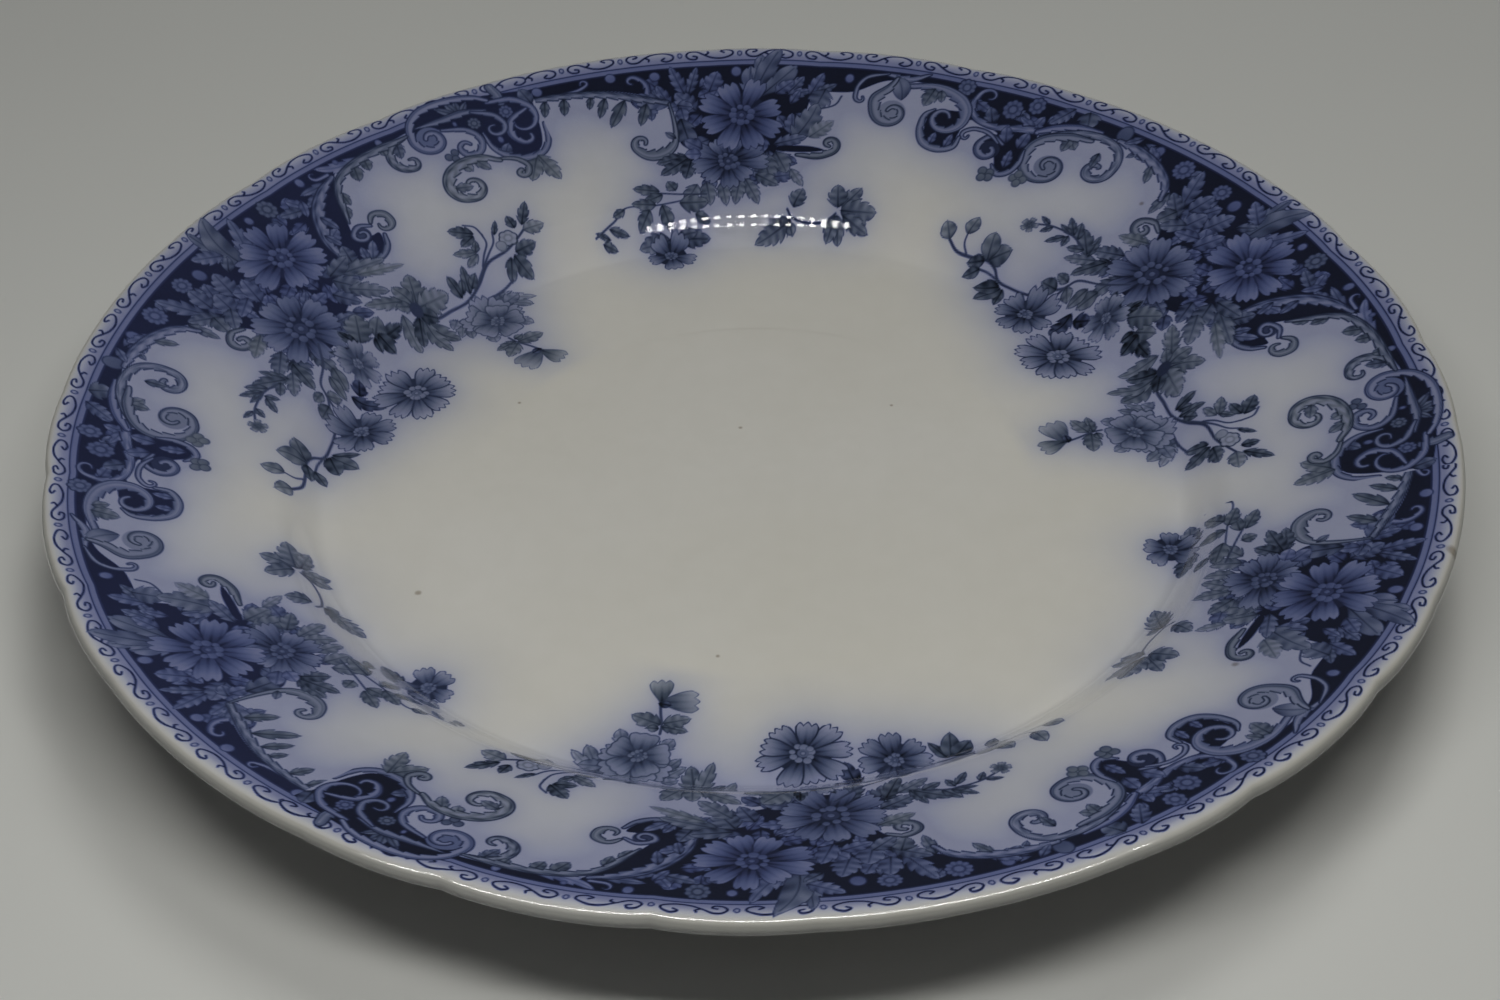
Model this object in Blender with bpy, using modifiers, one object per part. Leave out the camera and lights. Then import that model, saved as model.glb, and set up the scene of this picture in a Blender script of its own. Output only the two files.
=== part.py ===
"""China dinner plate with a scalloped lip: fired body, transfer prints and glaze.

Units are metres and +Z is up. The origin is on the plate's axis, in the plane of
the foot ring's resting edge, so the plate stands on Z = 0 with its face upward.

Every piece is turned from a profile in the XZ plane. The pieces nest as thin
layers: the earthenware body, three printed transfers that lie on its face, the
glaze coat over face, lip and back, and the glaze inside the foot ring.
"""
import math

import bmesh
import bpy
from mathutils import Matrix

# Overall size
PLATE_RADIUS = 0.127
TURN_STEPS = 96

# Face: flat well, curved wall up to the shoulder, then a rim that flares gently
WELL_RADIUS = 0.078
WELL_HEIGHT = 0.0065
SHOULDER_RADIUS = 0.0875
SHOULDER_HEIGHT = 0.0132
RIM_SLOPE = 0.32
RIM_FLARE = 0.6
LIP_RADIUS = 0.002
LIP_UNDERCUT = math.radians(-75)

# Back: rim thickness, foot ring and the recess inside it
RIM_THICKNESS = 0.0047
FOOT_RADIUS = 0.0800
FOOT_WIDTH = 0.0045
FOOT_DRAFT = 0.0010
FOOT_JOIN_HEIGHT = 0.0030
BACK_TURN_RADIUS = 0.0835
RECESS_HEIGHT = 0.0020
BARE_FOOT_HEIGHT = 0.0006

# Layers on the body
GLAZE_THICKNESS = 0.00025
PRINT_THICKNESS = 0.0001
LAYER_GAP = 0.0001
BODY_INSET = GLAZE_THICKNESS + PRINT_THICKNESS + 2 * LAYER_GAP

# Printed transfers: three sections round the plate, from the well to the lip
PRINT_SECTIONS = 3
PRINT_STEPS = 31
PRINT_INNER_RADIUS = 0.056

# Scallops of the lip: each sixth of the circle has a wide lobe at its middle,
# a shallow dip on either side of it, and then a deep notch
SCALLOP_REPEATS = 6
SCALLOP_CENTRE = math.radians(45)
SCALLOP_DIPS = ((11.25, 0.0003), (22.5, 0.0009))
SCALLOP_WIDTH = math.radians(2.6)
SCALLOP_START_RADIUS = 0.108

# How finely each stretch of the profile is divided
WALL_DIVISIONS = 5
RIM_DIVISIONS = 4
LIP_DIVISIONS = 5

# Name: linear base colour, roughness
MATERIALS = {
    "earthenware": ((0.62, 0.60, 0.54), 0.75),
    "cobalt_print": ((0.06, 0.08, 0.25), 0.45),
    "clear_glaze": ((0.70, 0.70, 0.66), 0.12),
}


def clear_scene():
    for old in list(bpy.data.objects):
        bpy.data.objects.remove(old, do_unlink=True)


def make_material(name):
    colour, roughness = MATERIALS[name]
    material = bpy.data.materials.new(name)
    material.use_nodes = True
    shader = material.node_tree.nodes["Principled BSDF"]
    shader.inputs["Base Color"].default_value = (*colour, 1.0)
    shader.inputs["Roughness"].default_value = roughness
    shader.inputs["Metallic"].default_value = 0.0
    material.diffuse_color = (*colour, 1.0)
    return material


# ---- profile of the finished plate, as (radius, height) points ----

def rim_height(radius):
    """Height of the face on the rim, outside the shoulder."""
    run = radius - SHOULDER_RADIUS
    return SHOULDER_HEIGHT + RIM_SLOPE * run + RIM_FLARE * run * run


def rim_slope(radius):
    return RIM_SLOPE + 2 * RIM_FLARE * (radius - SHOULDER_RADIUS)


def well_points():
    """Flat floor of the well, from the axis to the foot of the wall."""
    return [(0.0, WELL_HEIGHT), (PRINT_INNER_RADIUS, WELL_HEIGHT), (WELL_RADIUS, WELL_HEIGHT)]


def wall_points():
    """Wall between well and shoulder: a cubic, level below and at the rim's slope above."""
    run = SHOULDER_RADIUS - WELL_RADIUS
    rise = SHOULDER_HEIGHT - WELL_HEIGHT
    points = []
    for i in range(1, WALL_DIVISIONS + 1):
        t = i / WALL_DIVISIONS
        blend = t * t * (3 - 2 * t)
        ease = t * t * (t - 1) * RIM_SLOPE * run
        points.append((WELL_RADIUS + t * run, WELL_HEIGHT + blend * rise + ease))
    return points


def lip_start():
    """Radius where the rim runs into the lip, and the angle of its normal there."""
    radius = PLATE_RADIUS - LIP_RADIUS
    angle = math.pi / 2 + math.atan(rim_slope(radius))
    return radius + LIP_RADIUS * math.cos(angle), angle


def rim_points():
    end, _ = lip_start()
    step = (end - SHOULDER_RADIUS) / RIM_DIVISIONS
    radii = [SHOULDER_RADIUS + i * step for i in range(1, RIM_DIVISIONS + 1)]
    return [(radius, rim_height(radius)) for radius in radii]


def lip_points():
    """Rounded lip, as an arc from the end of the rim over the edge to its underside."""
    start_radius, start_angle = lip_start()
    centre_radius = PLATE_RADIUS - LIP_RADIUS
    centre_height = rim_height(start_radius) - LIP_RADIUS * math.sin(start_angle)
    points = []
    for i in range(1, LIP_DIVISIONS + 1):
        angle = start_angle + (LIP_UNDERCUT - start_angle) * i / LIP_DIVISIONS
        points.append((centre_radius + LIP_RADIUS * math.cos(angle),
                       centre_height + LIP_RADIUS * math.sin(angle)))
    return points


def back_points():
    """Underside of the rim, running in from the lip to the foot ring."""
    middle = 0.5 * (PLATE_RADIUS + SHOULDER_RADIUS)
    points = [(r, rim_height(r) - RIM_THICKNESS) for r in (middle, SHOULDER_RADIUS)]
    turn_height = 0.5 * (points[-1][1] + FOOT_JOIN_HEIGHT)
    return points + [(BACK_TURN_RADIUS, turn_height)]


def foot_outer_side(height):
    """Radius of the foot ring's outer side, which leans in towards the table."""
    return FOOT_RADIUS + FOOT_DRAFT * height / FOOT_JOIN_HEIGHT


def foot_inner_side(height):
    return FOOT_RADIUS - FOOT_WIDTH - FOOT_DRAFT * height / RECESS_HEIGHT


def coat_profile():
    """Outer surface of the glazed part: face, lip, back and the foot ring's outer side."""
    foot = [(foot_outer_side(h), h) for h in (FOOT_JOIN_HEIGHT, BARE_FOOT_HEIGHT)]
    return well_points() + wall_points() + rim_points() + lip_points() + back_points() + foot


def recess_profile():
    """Surface inside the foot ring, from the ring's inner side to the axis."""
    side = [(foot_inner_side(h), h) for h in (BARE_FOOT_HEIGHT, RECESS_HEIGHT)]
    return side + [(0.0, RECESS_HEIGHT)]


def inset(points, distance):
    """The profile moved into the material, to the right of its direction of travel."""
    moved = []
    for i, (radius, height) in enumerate(points):
        before = points[max(i - 1, 0)]
        after = points[min(i + 1, len(points) - 1)]
        first = unit(before, (radius, height)) if i else None
        last = unit((radius, height), after) if i < len(points) - 1 else first
        first = first or last
        # Mitre of the two neighbouring edges' inward normals
        normal = (first[1] + last[1], -(first[0] + last[0]))
        scale = distance * 2 / (normal[0] ** 2 + normal[1] ** 2)
        new_radius = 0.0 if radius == 0.0 else radius + normal[0] * scale
        moved.append((new_radius, height + normal[1] * scale))
    return moved


def unit(a, b):
    length = math.hypot(b[0] - a[0], b[1] - a[1])
    return (b[0] - a[0]) / length, (b[1] - a[1]) / length


# ---- turning and scalloping ----

def scallop_depth(angle):
    """How far the lip is drawn in at this angle round the plate."""
    repeat = 2 * math.pi / SCALLOP_REPEATS
    turn = (angle - SCALLOP_CENTRE + repeat / 2) % repeat - repeat / 2
    depth = 0.0
    for degrees, size in SCALLOP_DIPS:
        away = abs(abs(turn) - math.radians(degrees))
        depth = max(depth, size * math.exp(-away / SCALLOP_WIDTH))
    return depth


def scallop(mesh):
    """Draws the outer rim in by the scallop depth, fading out towards the well."""
    reach = PLATE_RADIUS - SCALLOP_START_RADIUS
    for vertex in mesh.vertices:
        x, y, _ = vertex.co
        radius = math.hypot(x, y)
        if radius <= SCALLOP_START_RADIUS:
            continue
        share = min((radius - SCALLOP_START_RADIUS) / reach, 1.0)
        factor = 1 - scallop_depth(math.atan2(y, x)) * share * share / radius
        vertex.co.x = x * factor
        vertex.co.y = y * factor


def close_ends(mesh):
    """Fills the two open ends of a part-turned section."""
    bm = bmesh.new()
    bm.from_mesh(mesh)
    open_edges = [edge for edge in bm.edges if edge.is_boundary]
    bmesh.ops.holes_fill(bm, edges=open_edges, sides=0)
    bmesh.ops.recalc_face_normals(bm, faces=bm.faces)
    bm.to_mesh(mesh)
    bm.free()


def turned_mesh(name, points, closed=False, steps=TURN_STEPS):
    """Mesh of a profile turned about Z by a Screw modifier."""
    count = len(points)
    edges = [(i, i + 1) for i in range(count - 1)]
    if closed:
        edges.append((count - 1, 0))
    profile = bpy.data.meshes.new(name + "_profile")
    profile.from_pydata([(radius, 0.0, height) for radius, height in points], edges, [])
    blank = bpy.data.objects.new(name + "_profile", profile)
    bpy.context.scene.collection.objects.link(blank)
    screw = blank.modifiers.new("Turn", "SCREW")
    screw.axis = "Z"
    screw.angle = 2 * math.pi * steps / TURN_STEPS
    screw.steps = steps
    screw.render_steps = steps
    screw.use_merge_vertices = steps == TURN_STEPS
    screw.merge_threshold = 0.00001
    mesh = bpy.data.meshes.new_from_object(blank.evaluated_get(bpy.context.evaluated_depsgraph_get()))
    bpy.data.objects.remove(blank, do_unlink=True)
    bpy.data.meshes.remove(profile)
    return mesh


def add_piece(collection, name, mesh, material):
    mesh.name = name
    mesh.materials.clear()
    mesh.materials.append(material)
    mesh.shade_smooth()
    mesh.set_sharp_from_angle(angle=math.radians(35))
    piece = bpy.data.objects.new(name, mesh)
    collection.objects.link(piece)
    return piece


# ---- the pieces ----

def build_body(collection, material):
    """Fired clay body. Only the resting edge of its foot ring is bare of glaze."""
    coat = inset(coat_profile(), BODY_INSET)[:-1]
    recess = inset(recess_profile(), BODY_INSET)[1:]
    foot = [(foot_outer_side(0.0) - BODY_INSET, 0.0), (foot_inner_side(0.0) + BODY_INSET, 0.0)]
    mesh = turned_mesh("earthenware_body", coat + foot + recess)
    scallop(mesh)
    return add_piece(collection, "earthenware_body", mesh, material)


def build_glaze_coat(collection, material):
    """Glass skin over the face, the lip and the back, down to the foot ring."""
    outside = coat_profile()
    inside = inset(outside, GLAZE_THICKNESS)
    mesh = turned_mesh("glaze_coat", outside + inside[::-1])
    scallop(mesh)
    return add_piece(collection, "glaze_coat", mesh, material)


def build_recess_glaze(collection, material):
    """Glass skin on the back inside the foot ring."""
    outside = recess_profile()
    inside = inset(outside, GLAZE_THICKNESS)
    mesh = turned_mesh("glaze_foot_recess", inside[::-1] + outside)
    return add_piece(collection, "glaze_foot_recess", mesh, material)


def build_print(collection, material, index):
    """One printed transfer, lying on the body's face from the well to the lip."""
    face = well_points()[1:] + wall_points() + rim_points()
    top = inset(face, GLAZE_THICKNESS + LAYER_GAP)
    bottom = inset(face, GLAZE_THICKNESS + LAYER_GAP + PRINT_THICKNESS)
    name = f"transfer_print_{index + 1}"
    mesh = turned_mesh(name, top + bottom[::-1], closed=True, steps=PRINT_STEPS)
    close_ends(mesh)
    start = 2 * math.pi * (index / PRINT_SECTIONS - 2 / TURN_STEPS)
    mesh.transform(Matrix.Rotation(start, 4, "Z"))
    scallop(mesh)
    return add_piece(collection, name, mesh, material)


def build_plate():
    clear_scene()
    collection = bpy.data.collections.new("dinner_plate")
    bpy.context.scene.collection.children.link(collection)
    clay = make_material("earthenware")
    ink = make_material("cobalt_print")
    glass = make_material("clear_glaze")
    build_body(collection, clay)
    for index in range(PRINT_SECTIONS):
        build_print(collection, ink, index)
    build_glaze_coat(collection, glass)
    build_recess_glaze(collection, glass)


build_plate()
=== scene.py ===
"""Looks of the china dinner plate: a flow-blue print drawn stroke by stroke, under a clear glaze.

The print is drawn on a sheet that holds ink density over one printed section, in degrees
round the plate by millimetres from its axis. The section is drawn once, laid down three
times round the ring, and left to bleed. The ring becomes three fine meshes that follow the
plate's face, and their material reads the ink from them. In the design, places are written
as degrees and millimetres, in turn. Ink runs from 0 to 1, and grey from cobalt at 0 to slate at 1.
"""

import math

import bpy
import numpy as np
from mathutils import Matrix, Vector


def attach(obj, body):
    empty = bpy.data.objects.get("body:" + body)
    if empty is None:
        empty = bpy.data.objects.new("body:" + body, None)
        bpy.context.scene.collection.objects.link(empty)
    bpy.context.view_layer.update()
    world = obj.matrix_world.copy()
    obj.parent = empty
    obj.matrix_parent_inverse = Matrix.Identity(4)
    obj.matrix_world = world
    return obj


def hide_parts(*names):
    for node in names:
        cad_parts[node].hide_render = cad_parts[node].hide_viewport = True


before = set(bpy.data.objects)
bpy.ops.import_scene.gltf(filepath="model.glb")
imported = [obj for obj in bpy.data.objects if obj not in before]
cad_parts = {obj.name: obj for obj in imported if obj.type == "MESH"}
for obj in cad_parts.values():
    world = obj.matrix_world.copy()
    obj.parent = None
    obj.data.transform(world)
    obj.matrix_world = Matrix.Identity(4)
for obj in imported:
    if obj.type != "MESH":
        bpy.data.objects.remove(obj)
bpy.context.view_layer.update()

MM = 0.001

# ---- the plate's shape, in millimetres, as in the CAD source ----

PLATE_RADIUS = 127.0
WELL_RADIUS = 78.0
WELL_HEIGHT = 6.5
SHOULDER_RADIUS = 87.5
SHOULDER_HEIGHT = 13.2
RIM_SLOPE = 0.32
RIM_FLARE = 0.0006
LIP_RADIUS = 2.0
LIP_UNDERCUT = math.radians(-75)
RIM_THICKNESS = 4.7
FOOT_RADIUS = 80.0
FOOT_WIDTH = 4.5
FOOT_JOIN_HEIGHT = 3.0
BACK_TURN_RADIUS = 83.5
RECESS_HEIGHT = 2.0
BARE_FOOT_HEIGHT = 0.6

SCALLOP_REPEATS = 6
SCALLOP_CENTRE = 45.0
SCALLOP_DIPS = ((11.25, 0.3), (22.5, 0.9))
SCALLOP_WIDTH = 2.6
SCALLOP_START_RADIUS = 108.0

# Depth of each layer's surface below the outside of the glaze
GLAZE_INSIDE = 0.08
PRINT_DEPTH = 0.11
BODY_DEPTH = 0.15

# ---- the print ----

# Where each of the three transfers starts, in degrees: they were laid by hand, so not evenly
SECTION_TURNS = (0.0, 121.8, 243.1)
SECTION_STRENGTH = (1.0, 0.93, 1.0)
SECTION_START = -9.6
SECTION_END = 113.0
PRINT_INNER = 50.0
PRINT_OUTER = 126.2

DEGREE_STEP = 0.1
RADIUS_STEP = 0.2
SOFT_EDGE = 0.2

# Strokes, in mm: a ribbon's outline and its ink, its extra width, how long and deep its lobes are
LINE = 0.30
DARK = 0.90
RIBBON_FULLNESS = 1.14
RIBBON_LOBE = 2.6
LOBE_CUT = 0.42
LEAF_FULLNESS = 1.2
LEAF_TOOTH = 1.8
COIL_STEPS = 28
COIL_SHRINK = 0.28
CORE_SHARE = 0.80
EYE_BUMPS = 9


def plan(points):
    """Plan positions in mm of points given as degrees and radius. +Y is outward at 0 degrees."""
    points = np.reshape(np.asarray(points, float), (-1, 2))
    angle = np.radians(points[:, 0])
    return np.stack([points[:, 1] * np.sin(angle), points[:, 1] * np.cos(angle)], -1)


def spline(p, closed=False, per_span=10):
    """Catmull-Rom curve through plan positions."""
    if closed:
        p = np.vstack([p[-1], p, p[0], p[1]])
    else:
        p = np.vstack([2 * p[0] - p[1], p, 2 * p[-1] - p[-2]])
    t = (np.arange(per_span) / per_span)[:, None]
    spans = []
    for a, b, c, d in zip(p, p[1:], p[2:], p[3:]):
        spans.append(0.5 * (2 * b + (c - a) * t + (2 * a - 5 * b + 4 * c - d) * t ** 2
                            + (3 * b - a - 3 * c + d) * t ** 3))
    spans.append(p[-2:-1])
    return np.vstack(spans)


def curve(points, closed=False):
    """Smooth plan line through points given as degrees and radius."""
    return spline(plan(points), closed)


def coil(entry, eye, turns, sense):
    """Spiral in plan from the entry point round the eye. Sense +1 turns anticlockwise."""
    start = entry - eye
    steps = max(int(COIL_STEPS * turns), 8)
    share = np.linspace(0, 1, steps + 1)
    angle = math.atan2(start[1], start[0]) + sense * 2 * math.pi * turns * share
    radius = np.hypot(*start) * (1 - (1 - COIL_SHRINK) * share ** 0.8)
    return eye + np.stack([radius * np.cos(angle), radius * np.sin(angle)], -1)


def rounded(line, spacing=0.25, reach=4, rounds=3):
    """The line resampled evenly and averaged with its neighbours, its two ends kept."""
    lengths = np.hypot(*np.diff(line, axis=0).T)
    at = np.concatenate([[0], np.cumsum(lengths)])
    even = np.linspace(0, at[-1], max(int(at[-1] / spacing), 8))
    line = np.stack([np.interp(even, at, line[:, k]) for k in range(2)], -1)
    for _ in range(rounds):
        before = 2 * line[0] - line[reach:0:-1]
        after = 2 * line[-1] - line[-2:-reach - 2:-1]
        padded = np.vstack([before, line, after])
        line = sum(padded[k:k + len(line)] for k in range(2 * reach + 1)) / (2 * reach + 1)
    return line


class Canvas:
    """Ink density and greyness over degrees (columns) and radius (rows)."""

    def __init__(self, start, end, inner, outer):
        self.start = start
        self.inner = inner
        self.degrees = np.arange(start, end, DEGREE_STEP)
        self.radii = np.arange(inner, outer + RADIUS_STEP / 2, RADIUS_STEP)
        angle = np.radians(self.degrees)
        self.x = np.outer(self.radii, np.sin(angle)).astype(np.float32)
        self.y = np.outer(self.radii, np.cos(angle)).astype(np.float32)
        self.ink = np.zeros_like(self.x)
        self.grey = np.zeros_like(self.x)

    def window(self, positions, margin):
        """Rows and columns that hold everything within the margin of the positions."""
        radius = np.hypot(positions[:, 0], positions[:, 1])
        degrees = np.degrees(np.arctan2(positions[:, 0], positions[:, 1]))
        turn = math.degrees(margin / radius.min())

        def span(values, spare, start, step):
            first, last = values.min() - spare - start, values.max() + spare - start
            return slice(max(int(first / step), 0), max(int(last / step) + 2, 0))

        return span(radius, margin, self.inner, RADIUS_STEP), span(degrees, turn, self.start, DEGREE_STEP)

    def paint(self, window, inside, ink, grey):
        """Lays ink over what is there wherever inside, a distance in mm, is positive."""
        cover = np.clip(inside / SOFT_EDGE + 0.5, 0, 1)
        self.ink[window] += (ink - self.ink[window]) * cover
        self.grey[window] += (grey - self.grey[window]) * cover

    def nearest(self, window, line):
        """Share along the line, and distance from it, positive on its left."""
        x, y = self.x[window], self.y[window]
        best = np.full(x.shape, 1e9, np.float32)
        share = np.zeros_like(best)
        side = np.ones_like(best)
        steps = np.diff(line, axis=0)
        lengths = np.hypot(steps[:, 0], steps[:, 1])
        at = np.concatenate([[0], np.cumsum(lengths)]) / lengths.sum()
        for k, (dx, dy) in enumerate(steps):
            if lengths[k] < 1e-9:
                continue
            ax, ay = line[k]
            s = np.clip(((x - ax) * dx + (y - ay) * dy) / lengths[k] ** 2, 0, 1)
            ex, ey = x - ax - s * dx, y - ay - s * dy
            away = ex * ex + ey * ey
            closer = away < best
            best = np.where(closer, away, best)
            share = np.where(closer, at[k] + s * (at[k + 1] - at[k]), share)
            side = np.where(closer, dx * ey - dy * ex, side)
        return share, np.copysign(np.sqrt(best), side)

    def enclosed(self, window, line):
        """True inside the closed line, by counting crossings."""
        x, y = self.x[window], self.y[window]
        odd = np.zeros(x.shape, bool)
        for (ax, ay), (bx, by) in zip(line, np.roll(line, -1, axis=0)):
            if ay == by:
                continue
            crosses = ((ay > y) != (by > y)) & (x < (bx - ax) * (y - ay) / (by - ay) + ax)
            odd ^= crosses
        return odd


sheet = Canvas(SECTION_START, SECTION_END, PRINT_INNER, PRINT_OUTER)


def outlined(tone, inside, width, dark):
    """The tone with a dark line of this width just inside its edge."""
    line = np.clip((width - inside) / SOFT_EDGE + 0.5, 0, 1)
    return tone + (dark - tone) * line


def fill(points, ink=0.97, grey=0.0):
    """A patch of ink inside a smooth closed outline."""
    line = curve(points, closed=True)
    window = sheet.window(line, 1.0)
    _, away = sheet.nearest(window, line)
    inside = np.where(sheet.enclosed(window, line), np.abs(away), -np.abs(away))
    sheet.paint(window, inside, ink, grey)


def ribbon(line, widths, ink, grey, light=0.16, veins=0):
    """A band along a plan line: outlined, lobed along its hollow side, its half-width varying."""
    window = sheet.window(line, max(widths) + 0.6)
    share, away = sheet.nearest(window, line)
    half = RIBBON_FULLNESS * np.interp(share, np.linspace(0, 1, len(widths)), widths)
    steps = np.diff(line, axis=0)
    turn = np.sum(steps[:-1, 0] * steps[1:, 1] - steps[:-1, 1] * steps[1:, 0])
    hollow = away * np.sign(turn)
    length = np.sum(np.hypot(steps[:, 0], steps[:, 1]))
    tooth = (share * max(1, round(length / RIBBON_LOBE))) % 1.0
    broad = np.clip((half - 0.5) / 0.3, 0, 1)
    half = np.where(hollow > 0, half * (1.12 - LOBE_CUT * broad * tooth ** 1.4), half)
    across = away / np.maximum(half, 0.05)
    tone = ink + 0.10 * across - light * np.exp(-((across + 0.15) / 0.38) ** 2)
    if veins:
        tone = tone + 0.10 * np.cos(2 * math.pi * (veins * share - 0.8 * np.abs(across)))
    tone = tone + 0.20 * broad * np.exp(-((hollow / np.maximum(half, 0.05) + 0.42) / 0.14) ** 2)
    inside = half - np.abs(away)
    sheet.paint(window, inside, outlined(tone, inside, LINE, DARK), grey)


def band(points, widths, ink, grey, **style):
    """A ribbon along a curve through these places."""
    ribbon(curve(points), widths, ink, grey, **style)


def stem(points, width=0.22, ink=0.80, grey=0.5):
    """A thin engraved line."""
    line = curve(points)
    window = sheet.window(line, width + 0.5)
    _, away = sheet.nearest(window, line)
    sheet.paint(window, width - np.abs(away), ink, grey)


def scroll(points, eye, turns, sense, widths, ink, grey, core=None, **style):
    """A band that ends in a coil round its eye. With a core, the coil's middle is filled first."""
    path = curve(points)
    eye = plan([eye])[0]
    if core is not None:
        disc(eye, np.hypot(*(path[-1] - eye)) * CORE_SHARE, core, grey)
    tip = rounded(coil(path[-1], eye, turns, sense), reach=1, rounds=1)
    ribbon(rounded(np.vstack([path, tip[1:]]), reach=2), widths, ink, grey, **style)


def disc(centre, radius, ink, grey):
    """A plain round dot in plan."""
    window = sheet.window(centre[None, :], radius + 0.5)
    away = np.hypot(sheet.x[window] - centre[0], sheet.y[window] - centre[1])
    sheet.paint(window, radius - away, ink, grey)


def along(base, tip, reach):
    """Window round an axis: share along it, offset to its left in mm, and its length."""
    axis = tip - base
    length = np.hypot(*axis)
    ux, uy = axis / length
    window = sheet.window(np.array([base, tip]), reach)
    dx, dy = sheet.x[window] - base[0], sheet.y[window] - base[1]
    return window, (dx * ux + dy * uy) / length, dy * ux - dx * uy, length


def blade(base, tip, width, bend=0.0, ink=0.60, grey=0.6, teeth=5, depth=0.45, fade=0.12,
          dark=0.86, full=0.45):
    """A lobed leaf from base to tip, both in plan, with a midrib and side veins."""
    width = LEAF_FULLNESS * width
    window, u, v, length = along(base, tip, width + abs(bend) * 8)
    teeth = max(1, min(teeth, round(length / LEAF_TOOTH)))
    depth = depth * min(1.0, 0.35 + length / 14)
    t = np.clip(u, 0, 1)
    v = v - bend * length * 4 * t * (1 - t)
    shape = np.clip(np.sin(math.pi * t ** (math.log(0.5) / math.log(full))), 0, 1) ** 0.75
    # The lobes lean toward the tip: each widens slowly, then is cut back
    reach = np.clip(np.abs(v) / (0.5 * width), 0, 1)
    phase = (teeth * (t - 0.10 * reach) + 0.2) % 1.0
    half = 0.5 * width * shape * (1 - depth + depth * phase ** 0.55) + 0.05
    inside = np.minimum(half - np.abs(v), np.minimum(u, 1 - u) * length + 0.1)
    across = v / np.maximum(0.5 * width * shape, 0.05)
    tone = ink + 0.07 + 0.12 * across + 0.14 * (1 - t) ** 2 - fade * t - 0.05 * (1 - np.abs(across))
    tone = tone + 0.10 * np.cos(2 * math.pi * (phase - 0.25)) * np.clip(3 * reach, 0, 1)
    tone = tone + 0.22 * np.exp(-(v / 0.16) ** 2) * (t < 0.92)
    sheet.paint(window, inside, outlined(tone, inside, 0.17, dark), grey)


def leaf(degrees, radius, tip_degrees, tip_radius, width, ink=0.6, grey=0.6, teeth=5, **style):
    """A toothed leaf from its base to its tip."""
    base, tip = plan((degrees, radius, tip_degrees, tip_radius))
    blade(base, tip, width, ink=ink, grey=grey, teeth=teeth, **style)


def leaves(*rows, **style):
    """Leaves in the order they are laid down, each a row of numbers as leaf() takes them."""
    for row in rows:
        leaf(*row, **style)


def petal(base, tip, width, ink=0.58, grey=0.15, teeth=3, dark=0.92, shade=0.30, cut=0.13,
          line=0.18):
    """A petal that widens from its base to a toothed tip, dark at the base and streaked."""
    window, u, v, length = along(base, tip, width)
    t = np.clip(u, 0, 1)
    swell = 0.26 + 0.74 * np.sin(0.5 * math.pi * np.clip(t / 0.78, 0, 1)) ** 1.2
    close = np.sqrt(np.clip(1 - (np.clip(t - 0.76, 0, 1) / 0.36) ** 2, 0, 1))
    half = 0.5 * width * swell * close
    across = v / (0.5 * width)
    tooth = np.abs(2 * ((teeth * (across + 1) / 2) % 1.0) - 1)
    end = 1.0 - 0.08 * across ** 2 - cut * tooth ** 1.5
    inside = np.minimum(half - np.abs(v), (end - u) * length)
    inside = np.minimum(inside, u * length + 0.2)
    streak = np.clip(np.cos(math.pi * teeth * 1.1 * across), 0, 1) * np.clip(1.0 - t, 0, 1)
    tone = ink + (shade + 0.06) * (1 - t) ** 1.6 + 0.16 * streak + 0.09 * across
    tone = tone - 0.16 * np.clip((t - 0.35) / 0.4, 0, 1)
    sheet.paint(window, inside, outlined(tone, inside, line, dark), grey)


def oval(centre, across, outward, reach):
    """Window round an oval whose second axis points outward, and the offsets along its two axes."""
    ox, oy = centre / np.hypot(*centre)
    window = sheet.window(centre[None, :], reach)
    dx, dy = sheet.x[window] - centre[0], sheet.y[window] - centre[1]
    return window, (dx * oy - dy * ox) / across, (dx * ox + dy * oy) / outward


def bead_at(centre, across, outward, ink, grey, dark=0.86, rim=0.24):
    """An outlined oval in plan."""
    window, u, v = oval(centre, across, outward, max(across, outward) + 0.5)
    inside = (1 - np.hypot(u, v)) * min(across, outward)
    sheet.paint(window, inside, outlined(ink - 0.08 * v, inside, rim, dark), grey)


def bead(centre, across, outward, ink=0.6, grey=0.05, **style):
    """A bead at a place in degrees and radius."""
    bead_at(plan(centre)[0], across, outward, ink, grey, **style)


def rosette(centre, across, outward, lobes=9, ink=0.6, grey=0.2):
    """A small open blossom: a lobed oval with a ringed middle."""
    window, u, v = oval(plan(centre)[0], across, outward, 1.3 * max(across, outward))
    angle = np.arctan2(v, u)
    reach = np.hypot(u, v)
    edge = 1 + 0.13 * np.abs(np.cos(0.5 * lobes * angle)) - 0.08
    inside = (edge - reach) * min(across, outward)
    ring = np.exp(-((reach - 0.42) / 0.10) ** 2)
    spokes = np.cos(lobes * angle) * (reach > 0.5)
    tone = ink + 0.20 * ring - 0.05 * spokes - 0.08 * (reach < 0.3)
    sheet.paint(window, inside, outlined(tone, inside, 0.26, 0.93), grey)


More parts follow.
